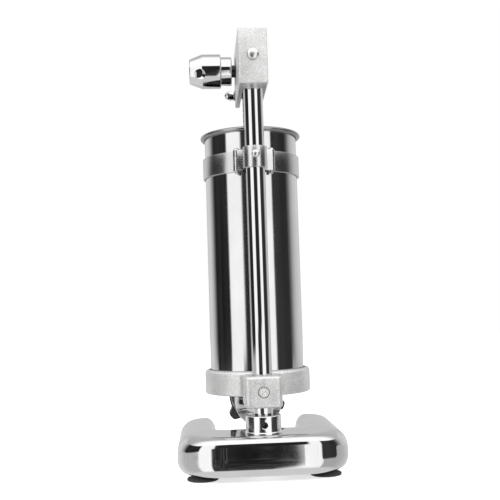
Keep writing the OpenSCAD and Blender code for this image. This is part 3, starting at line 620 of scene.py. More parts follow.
CHROME = Metal("mirror_chrome", (0.60, 0.60, 0.605), (0.55, 0.55, 0.555),
               roughness=0.045, roughness_spread=0.015, grain=(420.0, 420.0, 420.0), grain_strength=0.02,
               wave_strength=0.10)
BASE_CHROME = Metal("base_chrome", (0.60, 0.60, 0.605), (0.54, 0.54, 0.545),
                    roughness=0.055, roughness_spread=0.02, grain=(420.0, 420.0, 420.0), grain_strength=0.02,
                    wave_strength=0.30)
COLLAR_CHROME = Metal("collar_chrome", (0.70, 0.70, 0.705), (0.62, 0.62, 0.625),
                      roughness=0.13, roughness_spread=0.05, grain=(420.0, 420.0, 420.0), grain_strength=0.02,
                      wave_strength=0.30)
BARREL_STEEL = Metal("polished_barrel_steel", (0.58, 0.58, 0.585), (0.52, 0.52, 0.525),
                     roughness=0.09, roughness_spread=0.03, grain=(2600.0, 2600.0, 22.0), grain_strength=0.10,
                     wave_strength=0.10)
# Painted shade: the rolled rim's steel is a darker copy of the barrel's own steel, standing in for the shade along
# and under the rim.
RIM_STEEL_PAINTED_SHADE = Metal("rolled_rim_painted_shade", (0.32, 0.32, 0.325), (0.19, 0.19, 0.195),
                  roughness=0.18, roughness_spread=0.08, grain=(900.0, 900.0, 900.0), grain_strength=0.25,
                  wave_strength=0.10)
COLUMN_STEEL = Metal("polished_column_steel", (0.62, 0.62, 0.625), (0.57, 0.57, 0.575),
                     roughness=0.045, roughness_spread=0.015, grain=(3000.0, 3000.0, 30.0), grain_strength=0.03)
BRUSHED_STEEL = Metal("brushed_band_steel", (0.52, 0.52, 0.52), (0.44, 0.44, 0.44),
                      roughness=0.23, roughness_spread=0.05, grain=(60.0, 60.0, 5200.0), grain_strength=0.06)
SADDLE_STEEL = Metal("satin_saddle_steel", (0.60, 0.60, 0.60), (0.53, 0.53, 0.53),
                     roughness=0.26, roughness_spread=0.05, grain=(60.0, 60.0, 5200.0), grain_strength=0.05)
SCREW_STEEL = Metal("bright_screw_steel", (0.66, 0.66, 0.65), (0.56, 0.56, 0.55),
                    roughness=0.16, roughness_spread=0.05, grain=(1500.0, 1500.0, 1500.0), grain_strength=0.15)
SATIN_STEEL = Metal("satin_screw_steel", (0.86, 0.86, 0.85), (0.74, 0.74, 0.73),
                    roughness=0.50, roughness_spread=0.06, grain=(1500.0, 1500.0, 1500.0), grain_strength=0.15)
CAP_STEEL = Metal("satin_cap_steel", (0.70, 0.70, 0.69), (0.58, 0.58, 0.57),
                  roughness=0.32, roughness_spread=0.06, grain=(1500.0, 1500.0, 1500.0), grain_strength=0.15)
RACK_STEEL = Metal("machined_rack_steel", (0.58, 0.58, 0.59), (0.50, 0.50, 0.51),
                   roughness=0.24, roughness_spread=0.06, grain=(120.0, 120.0, 3800.0), grain_strength=0.30)
BLACK_STEEL = Metal("blackened_steel", (0.060, 0.060, 0.064), (0.030, 0.030, 0.032),
                    roughness=0.34, roughness_spread=0.08, grain=(900.0, 900.0, 900.0), grain_strength=0.20)
BRONZE = Metal("sintered_bronze", (0.36, 0.27, 0.15), (0.26, 0.19, 0.10),
               roughness=0.42, roughness_spread=0.08, grain=(2400.0, 2400.0, 2400.0), grain_strength=0.50)
CAST_METAL = Casting("blasted_casting", (0.90, 0.90, 0.895), (0.46, 0.46, 0.455),
                     roughness=0.47, metallic=0.75, sand=760.0)
BLACK_NYLON = Moulding("black_nylon", (0.060, 0.060, 0.060), (0.034, 0.034, 0.034),
                       roughness=0.46, texture=1500.0, depth=1e-4)
WHITE_NYLON = Moulding("white_nylon", (0.86, 0.86, 0.82), (0.78, 0.78, 0.74),
                       roughness=0.40, texture=900.0, depth=5e-5)
FOOT_RUBBER = Moulding("foot_rubber", (0.016, 0.016, 0.016), (0.009, 0.009, 0.009),
                       roughness=0.62, texture=1100.0, depth=1.5e-4, specular=0.2)
SEAL_RUBBER = Moulding("seal_rubber", (0.045, 0.045, 0.045), (0.028, 0.028, 0.028),
                       roughness=0.50, texture=1400.0, depth=5e-5)


# ---------------------------------------------------------------- placing


def box_of(node: str) -> tuple[np.ndarray, np.ndarray]:
    """Lowest and highest corner of a frame node, in millimetres."""
    low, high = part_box(node)
    return np.array(low) / MM, np.array(high) / MM


def middle_of(node: str) -> np.ndarray:
    """Middle of a frame node's box, in millimetres."""
    low, high = box_of(node)
    return (low + high) / 2


def put_on(piece: bpy.types.Object, finish: Finish, body: str, nodes: list[str]) -> None:
    """Gives a new piece its material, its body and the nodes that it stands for.

    Args:
        piece: the new piece.
        finish: its finish.
        body: the body that it rides on.
        nodes: the frame's nodes that it replaces.
    """
    piece.data.materials.clear()
    piece.data.materials.append(finish.material())
    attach(piece, body)
    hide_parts(*nodes)
    LOG.info("%s: %d faces, %s, for %s", piece.name, len(piece.data.polygons), finish.name, ", ".join(nodes))


def dress(finish: Finish, *nodes: str) -> None:
    """Gives frame nodes that stay as they are a better material.

    Args:
        finish: their finish.
        *nodes: the nodes' names.
    """
    for node in nodes:
        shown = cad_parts[node]
        if not shown.material_slots:
            shown.data.materials.append(finish.material())
        for place in shown.material_slots:
            place.material = finish.material()
        LOG.info("%s: the frame's own mesh, %s", node, finish.name)


# ---------------------------------------------------------------- stand


@dataclass
class RimStretch:
    """One stretch of the base's outer or inner rim, with the roof line that it faces."""

    rim: np.ndarray
    roof: np.ndarray
    shoulder: np.ndarray
    rise: np.ndarray
    tuck: np.ndarray

    @classmethod
    def even(cls, rim: np.ndarray, roof: np.ndarray, shoulder: float, rise: float, tuck: float) -> RimStretch:
        """A stretch whose shoulder, rise and tuck are the same along all of it."""
        return cls(rim, roof, *(np.full(len(rim), value) for value in (shoulder, rise, tuck)))

    @classmethod
    def joined(cls, parts: list[RimStretch]) -> RimStretch:
        """Several stretches end to end."""
        return cls(*(np.concatenate([getattr(part, field.name) for part in parts]) for field in fields(cls)))


@dataclass
class BaseCasting:
    """The hollow U-shaped base: two rounded legs and a crossbar, over four rubber feet."""

    leg: float = 41.0
    bar: float = 69.0
    back_corner: float = 50.0
    tip_corner: float = 34.0
    gap_corner: float = 12.0
    mouth: float = 7.0
    side_shoulder: float = 23.0
    side_rise: float = 22.5
    back_shoulder: float = 11.0
    back_rise: float = 9.0
    front_shoulder: float = 26.0
    gap_round: float = 13.0
    waist: float = 19.5
    tuck: float = 9.0
    power: float = 2.4
    draft: float = 2.5
    wall: float = 3.0
    roof_x: float = 62.0
    roof_corner: float = 25.5
    pole_in: float = 25.0
    post_radius: float = 7.0
    boss_radius: float = 19.0
    boss_low: float = 14.0
    widened_by: float = 0.4
    narrows_from: float = 0.5
    reach_share: float = 0.98
    steps: int = 36
    roof_rows: int = 5
    shoulder_rows: int = 18
    wall_rows: int = 3
    skirt_rows: int = 8

    def build(self) -> None:
        """Makes the base, its posts and the boss for the column."""
        low, high = box_of("base")
        self.half_w, self.half_d = high[0], high[1]
        self.lift, self.top = low[2], high[2]
        grid = self.skin()
        posts = [rod(self.post_radius, self.lift, self.top - self.wall / 2).placed((x, y, 0))
                 for x, y in self.foot_places()]
        column = middle_of("column")
        boss = rod(self.boss_radius, self.boss_low, self.top - self.wall / 2).placed((0, column[1], 0))
        piece = solid("chrome_base", [grid, *posts, boss], sharp=50.0)
        put_on(piece, BASE_CHROME, "stand", ["base"])

    @staticmethod
    def foot_places() -> list[Pair]:
        """The four feet's centres: the corners of their common box, moved in by one foot's radius.

        Returns:
            The centres' x and y.
        """
        low, high = box_of("feet")
        return [(x, y) for x in (low[0] + FootSet.radius, high[0] - FootSet.radius)
                for y in (low[1] + FootSet.radius, high[1] - FootSet.radius)]

    def stretches(self) -> list[RimStretch]:
        """The right half of the rim, from the middle of the gap's back round the leg to the base's back.

        Each rim point has a partner on the roof line, which runs along the middle of the crossbar and of
        the leg and ends in a pole near the leg's tip.

        Returns:
            The stretches in order.
        """
        n, gap, even = self.steps, self.gap_round, RimStretch.even
        gap_x, gap_y = self.half_w - self.leg, self.half_d - self.bar
        roof_y = (gap_y + self.gap_round + self.half_d - self.back_shoulder) / 2
        turn_x, turn_y = self.roof_x - self.roof_corner, roof_y - self.roof_corner
        pole = (self.roof_x, self.pole_in - self.half_d)
        roof_bar = line((0, roof_y), (turn_x, roof_y), n)
        roof_turn = arc((turn_x, turn_y), self.roof_corner, 90, 0, n)
        roof_leg = line((self.roof_x, turn_y), pole, n)
        corner = (gap_x - self.gap_corner, gap_y - self.gap_corner)
        back = (self.half_w - self.back_corner, self.half_d - self.back_corner)
        front_y = self.tip_corner - self.half_d
        blend = smooth_step(np.linspace(0, 1, n + 1))
        tight = RimStretch(
            arc(back, self.back_corner, 0, 90, n), roof_turn[::-1],
            self.side_shoulder + (self.back_shoulder - self.side_shoulder) * blend,
            self.side_rise + (self.back_rise - self.side_rise) * blend, np.full(n + 1, self.tuck))
        return [
            even(line((0, gap_y), (corner[0], gap_y), n), roof_bar, gap, gap, 0.0),
            even(arc(corner, self.gap_corner, 90, 0, n), roof_turn, gap, gap, 0.0),
            even(line((gap_x, corner[1]), (gap_x, pole[1]), n), roof_leg, gap, gap, 0.0),
            self.tip(gap_x, pole),
            even(line((self.half_w, front_y), (self.half_w, back[1]), n), roof_leg[::-1],
                 self.side_shoulder, self.side_rise, self.tuck),
            tight,
            even(line((back[0], self.half_d), (0, self.half_d), n), roof_bar[::-1],
                 self.back_shoulder, self.back_rise, self.tuck),
        ]

    def tip(self, gap_x: float, pole: tuple[float, float]) -> RimStretch:
        """The rim round a leg's tip, which blends from the gap's tight edge to the sides' wide one.

        Args:
            gap_x: the gap's inner wall.
            pole: where the roof line ends.

        Returns:
            The stretch.
        """
        front = -self.half_d
        mouth_y, mouth_x = front + self.mouth, gap_x + self.mouth
        rim = np.vstack([
            line((gap_x, pole[1]), (gap_x, mouth_y), self.steps // 2),
            arc((mouth_x, mouth_y), self.mouth, 180, 270, self.steps // 2),
            arc((self.half_w - self.tip_corner, front + self.tip_corner), self.tip_corner, -90, 0, self.steps),
        ])
        angle = np.unwrap(np.arctan2(rim[:, 1] - pole[1], rim[:, 0] - pole[0]))
        share = (angle - angle[0]) / (angle[-1] - angle[0])
        widen = smooth_step(share / self.widened_by)
        narrow = smooth_step((share - self.narrows_from) / (1 - self.narrows_from))
        shoulder = (self.gap_round + (self.front_shoulder - self.gap_round) * widen
                    + (self.side_shoulder - self.front_shoulder) * narrow)
        rise = self.gap_round + (self.side_rise - self.gap_round) * widen
        roof = np.tile(np.array(pole, float), (len(rim), 1))
        return RimStretch(rim, roof, shoulder, rise, self.tuck * widen)

    def skin(self) -> Surface:
        """The whole casting as one closed grid: roof, shoulder, wall and skirt, and back up inside.

        A row lies at a distance from the rim towards the roof line and at a height. On the shoulder these
        are one minus the cosine, and the sine, of the row's angle, each raised to two over the power and
        times the shoulder's width and rise. Below it the wall leans out by the draft, and the skirt draws
        in on a quarter ellipse. The inner skin is the same, one wall thickness further in.

        Returns:
            The grid.
        """
        whole = RimStretch.joined(self.stretches())
        reach = np.linalg.norm(whole.roof - whole.rim, axis=1)
        inward = (whole.roof - whole.rim) / reach[:, None]
        outer_share = whole.tuck / self.tuck
        spring = self.top - whole.rise
        lean = math.tan(math.radians(self.draft)) * np.maximum(spring - self.waist, 0) * outer_share
        shoulder = np.minimum(whole.shoulder, (reach - lean) * self.reach_share)
        bend = 2 / (2 + (self.power - 2) * outer_share)
        foot = np.minimum(self.waist, spring)

        def half_section(wall: float) -> list[tuple[np.ndarray, np.ndarray]]:
            """One skin from the roof line down to the skirt's edge.

            Args:
                wall: how far the skin lies inside the casting's outer face.

            Returns:
                Distance from the rim, and height, of each row.
            """
            width, height = shoulder - wall, whole.rise - wall
            start = lean + wall + width
            rows = [(start + (reach - start) * share, self.top - wall + 0 * reach)
                    for share in np.linspace(1, 0, self.roof_rows + 1)[:-1]]
            for angle in math.pi / 2 * np.linspace(1, 0, self.shoulder_rows + 1):
                rows.append((lean + wall + width * (1 - math.cos(angle) ** bend),
                             spring + height * math.sin(angle) ** bend))
            for share in np.linspace(0, 1, self.wall_rows + 1)[1:]:
                rows.append((wall + lean * (1 - share), spring + (foot - spring) * share))
            for angle in math.pi / 2 * np.linspace(0, 1, self.skirt_rows + 1)[1:]:
                rows.append((wall + whole.tuck * (1 - math.cos(angle)),
                             foot - (foot - self.lift) * math.sin(angle)))
            return rows

        section = half_section(0.0) + half_section(self.wall)[::-1]
        half = np.array([np.column_stack([whole.rim + inward * off[:, None], z]) for off, z in section])
        return Surface(np.concatenate([half, half[:, ::-1] * np.array([-1.0, 1.0, 1.0])], axis=1))


@dataclass
class FootSet:
    """Four turned rubber feet with rounded rims, and the screws in them."""

    radius: float = 15.8
    rim: float = 1.9
    edge: float = 0.9
    neck: float = 9.0
    sole_edge: float = 0.54
    neck_flare: float = 1.5
    neck_round: float = 2.0
    neck_edge: float = 0.3
    recess: float = 5.0
    recess_depth: float = 3.84
    recess_round: float = 0.2
    recess_edge: float = 0.4

    def build(self) -> None:
        """Makes the four feet as one piece."""
        height = box_of("feet")[1][2]
        profile = rounded([
            (0, self.recess_depth, 0), (self.recess, self.recess_depth, self.recess_round),
            (self.recess, 0, self.recess_edge), (self.radius, 0, self.sole_edge),
            (self.radius, self.rim, self.edge), (self.neck + self.neck_flare, 2 * self.rim, self.neck_round),
            (self.neck, height, self.neck_edge), (0, height, 0)], closed=False)
        feet = [lathe(profile, 72).placed((x, y, 0)) for x, y in BaseCasting.foot_places()]
        put_on(solid("rubber_feet", feet), FOOT_RUBBER, "stand", ["feet"])
        dress(SCREW_STEEL, "foot_screws")


@dataclass
class Column:
    """The polished column, the collar at its foot and what holds it from below."""

    collar_radius: float = 17.9
    flange: float = 0.8
    flange_height: float = 1.6
    collar_round: float = 1.4
    flange_edge: float = 0.3
    step_round: float = 0.5
    mouth_edge: float = 0.4
    screw_hole: float = 3.1
    hole_sink: float = 0.3
    fit: float = 0.05
    top_edge: float = 1.0
    foot_edge: float = 0.3

    def build(self) -> None:
        """Makes the column and the collar, and dresses the screws."""
        low, high = box_of("column")
        radius = (high[0] - low[0]) / 2
        place = (0.0, (low[1] + high[1]) / 2, 0.0)
        profile = rounded([(0, low[2], 0), (radius, low[2], self.foot_edge), (radius, high[2], self.top_edge),
                           (0, high[2], 0)], closed=False)
        column = solid("polished_column", [lathe(profile, 128).placed(place)])
        put_on(column, COLUMN_STEEL, "stand", ["column"])
        self.collar(radius + self.fit, place)
        dress(BLACK_STEEL, "collar_set_screw")
        dress(SCREW_STEEL, "column_bolt", "column_washer")

    def collar(self, bore: float, place: tuple[float, float, float]) -> None:
        """The collar: a turned ring with a small flange, and a threaded hole in its back.

        Args:
            bore: radius of its bore.
            place: the column's axis at the table.
        """
        low, high = box_of("base_collar")
        step, flange = low[2] + self.flange_height, self.collar_radius + self.flange
        profile = rounded([
            (bore, low[2], 0), (flange, low[2], self.flange_edge), (flange, step, self.step_round),
            (self.collar_radius, step + self.flange, self.step_round),
            (self.collar_radius, high[2], self.collar_round), (bore, high[2], self.mouth_edge)])
        ring = solid("foot_collar", [lathe(profile, 128, closed=True).placed(place)])
        sink = math.sqrt(self.collar_radius ** 2 - self.screw_hole ** 2) - self.hole_sink
        flare = 2 * self.collar_round
        drill = lathe(np.array([[0, bore / 2], [self.screw_hole, bore / 2], [self.screw_hole, sink],
                                [self.screw_hole + flare, sink + flare], [0, sink + flare]]), 64)
        hole = drill.placed((0, place[1], (low[2] + high[2]) / 2), Axis.BACK)
        carve(ring, [(Cut.TAKE_AWAY, hole)])
        put_on(ring, COLLAR_CHROME, "stand", ["base_collar"])


@dataclass
class Cradle:
    """The cast ring that holds the barrel, with the boss that grips the column."""

    inner: float = 51.1
    outer: float = 57.2
    low: float = 79.5
    height: float = 25.4
    lip_height: float = 3.5
    lip: float = 5.0
    lip_edge: float = 0.6
    top_round: float = 3.6
    bottom_round: float = 1.6
    rebate: float = 1.3
    rebate_depth: float = 4.5
    rebate_edge: float = 0.3
    open_width: float = 57.0
    boss_width: float = 38.0
    boss_low: float = 71.2
    boss_height: float = 31.3
    boss_corner: float = 6.0
    boss_start: float = 0.8
    boss_fillet: float = 8.0
    boss_edge: float = 1.0
    boss_round: float = 3.0
    flare_in: float = 0.6
    flare_under: float = 0.05
    boss_relief: float = 2.0
    bore: float = 10.05
    screw_pocket: float = 5.75
    pocket_depth: float = 6.0
    head_radius: float = 5.2
    head_sink: float = 0.9
    head_socket: float = 2.0
    head_ridge: float = 1.7
    head_edge: float = 0.5
    ridge_slope: float = 0.35
    ridge_edge: float = 0.1
    socket_lip: float = 0.2
    socket_depth: float = 0.7
    pin_hole: float = 1.6

    def build(self) -> None:
        """Makes the ring and boss as one casting, and dresses the screw and the pin."""
        axis_y, back = middle_of("barrel_tube")[1], box_of("cradle")[1][1]
        ring = solid("cast_cradle", [lathe(self.section(), 192, closed=True).placed((0, axis_y, 0))])
        top, tall = self.boss_low + self.boss_height, self.low + 2 * self.boss_height
        boss = solid("boss", [prism(self.straight_outline(axis_y, back), self.boss_low, top, self.boss_round, 8)])
        flare = prism(self.boss_outline(axis_y, back), self.low + self.flare_in, top - self.flare_in,
                      self.boss_edge, 5)
        clear = rod(self.inner + self.boss_relief, self.boss_low - 1, tall, segments=160).placed((0, axis_y, 0))
        carve(boss, [(Cut.JOIN, flare), (Cut.TAKE_AWAY, clear)])
        front = box((-self.open_width / 2, axis_y - self.outer - 1, self.boss_low - 1),
                    (self.open_width / 2, axis_y - self.inner / 2, tall))
        screw, pin = middle_of("cradle_screw"), middle_of("cradle_side_pin")
        column = rod(self.bore, self.low - 2 * self.boss_height, tall, segments=96)
        pocket = rod(self.screw_pocket, back - self.pocket_depth, back + 1)
        side = rod(self.pin_hole, -self.boss_width, 0)
        holes = [front, column.placed((0, middle_of("column")[1], 0)), pocket.placed((0, 0, screw[2]), Axis.BACK),
                 side.placed((0, pin[1], pin[2]), Axis.RIGHT)]
        carve(ring, [(Cut.JOIN, boss), *((Cut.TAKE_AWAY, hole) for hole in holes)])
        put_on(ring, CAST_METAL, "stand", ["cradle"])
        self.screw(back, screw[2])
        dress(SCREW_STEEL, "cradle_side_pin")

    def section(self) -> np.ndarray:
        """Section of the ring: a lip under the barrel, a rounded outer face and a rebate inside the top.

        Returns:
            The closed profile.
        """
        top, lip_top = self.low + self.height, self.low + self.lip_height
        step = self.inner + self.rebate
        return rounded([
            (self.inner - self.lip, self.low, self.lip_edge), (self.outer, self.low, self.bottom_round),
            (self.outer, top, self.top_round), (step, top, self.rebate_edge), (step, top - self.rebate_depth, 0),
            (self.inner, top - self.rebate_depth - self.rebate, 0), (self.inner, lip_top, 0),
            (self.inner - self.lip, lip_top, self.lip_edge)], steps=8)

    def screw(self, back: float, height: float) -> None:
        """The socket screw, whose head lies just under the boss's back face.

        Args:
            back: the boss's back face.
            height: the screw's height.
        """
        face, seat = back - self.head_sink, back - self.pocket_depth + 0.1
        groove, rim = face - self.socket_depth, self.head_socket + self.head_ridge
        slope, edge = self.ridge_slope, self.ridge_edge
        profile = rounded([
            (0, seat, 0), (self.head_radius, seat, 0), (self.head_radius, face, self.head_edge),
            (rim, face, edge), (rim - slope, groove, edge), (rim - 2 * slope, groove, edge),
            (self.head_socket, face - self.socket_lip, self.socket_lip),
            (self.head_socket - slope, groove, edge), (0, groove, 0)], closed=False)
        piece = solid("clamp_screw", [lathe(profile).placed((0, 0, height), Axis.BACK)])
        put_on(piece, SATIN_STEEL, "stand", ["cradle_screw"])

    def straight_outline(self, axis_y: float, back: float) -> np.ndarray:
        """Plan of the boss without its fillets: straight sides from inside the ring to the round corners.

        Args:
            axis_y: the barrel's axis.
            back: the boss's back face.

        Returns:
            The outline, counter-clockwise.
        """
        half = self.boss_width / 2
        corner = arc((half - self.boss_corner, back - self.boss_corner), self.boss_corner, 0, 90, 12)
        return both_halves(np.vstack([[[half, axis_y + self.inner * self.boss_start]], corner]))

    def boss_outline(self, axis_y: float, back: float) -> np.ndarray:
        """Plan of the boss: two fillets that leave the ring tangentially, then two rounded back corners.

        Args:
            axis_y: the barrel's axis.
            back: the boss's back face.

        Returns:
            The outline, counter-clockwise.
        """
        x = self.boss_width / 2 + self.boss_fillet
        rise = math.sqrt((self.outer + self.boss_fillet) ** 2 - x * x)
        foot = np.array([[x * self.outer / (self.outer + self.boss_fillet), axis_y + self.inner / 2]])
        start = 180 + math.degrees(math.atan2(rise, x))
        half = np.vstack([
            foot, arc((x, axis_y + rise), self.boss_fillet, start, 180, 12),
            [[self.boss_width / 2 - self.flare_under, back - 2 * self.boss_corner]]])
        return both_halves(half)


# ---------------------------------------------------------------- barrel and spout


@dataclass
class Barrel:
    """The rolled-rim barrel, its floor, and the spout with its ferrule."""

    outer: float = 50.8
    wall: float = 1.2
    rim: float = 55.4
    bead: float = 2.2
    bead_arc: Pair = (195.0, 440.0)
    flare_ends: Pair = (125.0, 105.0)
    spout_outer: float = 25.4
    spout_wall: float = 1.2
    spout_z: float = 67.0
    ferrule: float = 26.7
    flange: float = 27.5
    flange_thick: float = 2.0
    thread: float = 11.0
    pitch: float = 3.0
    flank: float = 0.5
    thread_depth: float = 0.9
    fit: float = 0.05

    def build(self) -> None:
        """Makes the tube, the spout and the ferrule, and dresses what lies inside."""
        low, high = box_of("barrel_tube")
        self.axis_y = (low[1] + high[1]) / 2
        self.floor_z, self.rim_z = low[2], high[2]
        self.spout_end = box_of("spout")[0][1]
        wall = lathe(self.tube_profile(), 224, closed=True).placed((0, self.axis_y, 0))
        tube = solid("barrel", [wall], sharp=40.0)
        put_on(tube, BARREL_STEEL, "stand", ["barrel_tube"])
        # The rim's faces take the darker rim steel: painted shade along and under the rolled rim.
        tube.data.materials.append(RIM_STEEL_PAINTED_SHADE.material())
        middles = np.empty(3 * len(tube.data.polygons))
        tube.data.polygons.foreach_get("center", middles)
        painted_shade_faces = middles[2::3] > (self.rim_z - 2 * self.bead) * MM
        tube.data.polygons.foreach_set("material_index", painted_shade_faces.astype(np.int32))
        self.spout()
        self.thread_ring()
        dress(BARREL_STEEL, "barrel_floor")
        dress(SEAL_RUBBER, "nozzle_seal")
        dress(BRUSHED_STEEL, "nozzle_disc")

    def tube_profile(self) -> np.ndarray:
        """Section of the tube's wall: it flares outwards at the top and rolls over into a round bead.

        Returns:
            The closed profile.
        """
        bead_x, bead_z = self.rim - self.bead, self.rim_z - self.bead
        flare = bead_x - self.outer
        turn_z = bead_z - flare
        inner = self.outer - self.wall
        return np.vstack([
            [[inner, self.floor_z], [self.outer, self.floor_z]],
            arc((bead_x, turn_z), flare, 180, self.flare_ends[0], 8),
            arc((bead_x, bead_z), self.bead, *self.bead_arc, 28),
            arc((bead_x, turn_z), flare + self.wall, self.flare_ends[1], 180, 8)])

    def spout(self) -> None:
        """The spout: a tube with a domed back end, cut off flat where it meets the barrel's floor."""
        inner, end = self.spout_outer - self.spout_wall, self.axis_y - self.spout_end
        profile = np.vstack([
            arc((0, 0), self.spout_outer, -90, 0, 24), [[self.spout_outer, end], [inner, end]],
            arc((0, 0), inner, 0, -90, 24)])
        shell = solid("spout_tube", [lathe(profile, 128).placed((0, self.axis_y, self.spout_z), Axis.FRONT)])
        top = box((-self.outer, self.axis_y - self.outer - self.spout_outer, self.floor_z),
                  (self.outer, self.axis_y + self.outer, self.rim_z))
        carve(shell, [(Cut.TAKE_AWAY, top)])
        put_on(shell, BARREL_STEEL, "stand", ["spout"])

    def thread_ring(self) -> None:
        """The ferrule: a flange behind a thread of plain rings, on the end of the spout."""
        crest, root, bore = self.ferrule, self.ferrule - self.thread_depth, self.spout_outer + self.fit
        corners = [(bore, 0, 0.2), (crest, 0, 0.5)]
        for turn in range(2):
            start = self.pitch * (turn + 0.5)
            corners += [(crest, start, 0.15), (root, start + self.flank, 0.1),
                        (root, start + 2 * self.flank, 0.1), (crest, start + 3 * self.flank, 0.15)]
        top = self.thread + self.flange_thick
        corners += [(crest, self.thread, 0), (self.flange, self.thread, 0.3), (self.flange, top, 0.4),
                    (bore, top, 0.2)]
        place = (0, self.spout_end, self.spout_z)
        ring = solid("spout_flange", [lathe(rounded(corners, steps=3), 128, closed=True).placed(place, Axis.BACK)])
        put_on(ring, BARREL_STEEL, "stand", ["spout_ferrule"])


@dataclass
class SpoutNut:
    """The black moulded nut with three broad lobes."""

    body: float = 29.4
    tip: float = 36.4
    tip_half: float = 5.6
    root_half: float = 8.8
    root: float = 26.5
    tip_round: float = 2.4
    first_lobe: float = 80.2
    lobes: int = 3
    bore: float = 27.1
    lip_hole: float = 19.0
    lip_edge: float = 0.4
    lip: float = 2.5
    edge: float = 1.3
    edge_middle: float = 0.29
    lobe_power: float = 26.0
    body_power: float = 60.0

    def build(self) -> None:
        """Makes the nut as one grid round its axis.

        A row's radius is its first number, plus the outline's radius where its third number is 1. Its
        second number is the distance from the nut's back.
        """
        low, high = box_of("spout_nut")
        length = high[1] - low[1]
        turn = np.linspace(0, 2 * math.pi, 288, endpoint=False)
        cut = self.edge * self.edge_middle
        section = np.array([
            (self.bore, 0, 0), (-self.edge, 0, 1), (-cut, cut, 1), (0, self.edge, 1), (0, length / 2, 1),
            (0, length - self.edge, 1), (-cut, length - cut, 1), (-self.edge, length, 1),
            (self.lip_hole + self.lip_edge, length, 0), (self.lip_hole, length - self.lip_edge, 0),
            (self.lip_hole, length - self.lip, 0), (self.bore, length - self.lip, 0)])
        radius = section[:, :1] + section[:, 2:] * self.outline(turn)
        points = np.stack([radius * np.cos(turn), radius * np.sin(turn), section[:, 1:2] + 0 * turn], axis=-1)
        grid = Surface(points, wrap_rows=True).placed((0, high[1], Barrel.spout_z), Axis.FRONT)
        put_on(solid("lobed_nut", [grid], sharp=30.0), BLACK_NYLON, "nut", ["spout_nut"])

    def outline(self, turn: np.ndarray) -> np.ndarray:
        """Radius of the nut at each angle.

        A lobe is bounded by its flat tip and two straight sides that spread towards the root. Its radius
        is a soft minimum of the two, and the nut's is the larger of the lobes' and the body's.

        Args:
            turn: the angles.

        Returns:
            The radii.
        """
        inner_tip, lobe, body = self.tip - self.tip_round, self.lobe_power, self.body_power
        slope = (self.root_half - self.tip_half) / (inner_tip - self.root)
        pitch = 2 * math.pi / self.lobes
        off = np.abs(np.mod(turn - math.radians(self.first_lobe) + pitch / 2, pitch) - pitch / 2)
        flat = self.tip / np.cos(off)
        side = (self.tip_half + slope * inner_tip) / (np.sin(off) + slope * np.cos(off))
        reach = (flat ** -lobe + np.abs(side) ** -lobe) ** (-1 / lobe)
        return np.minimum((self.body ** body + reach ** body) ** (1 / body), self.tip)


# ---------------------------------------------------------------- upper band


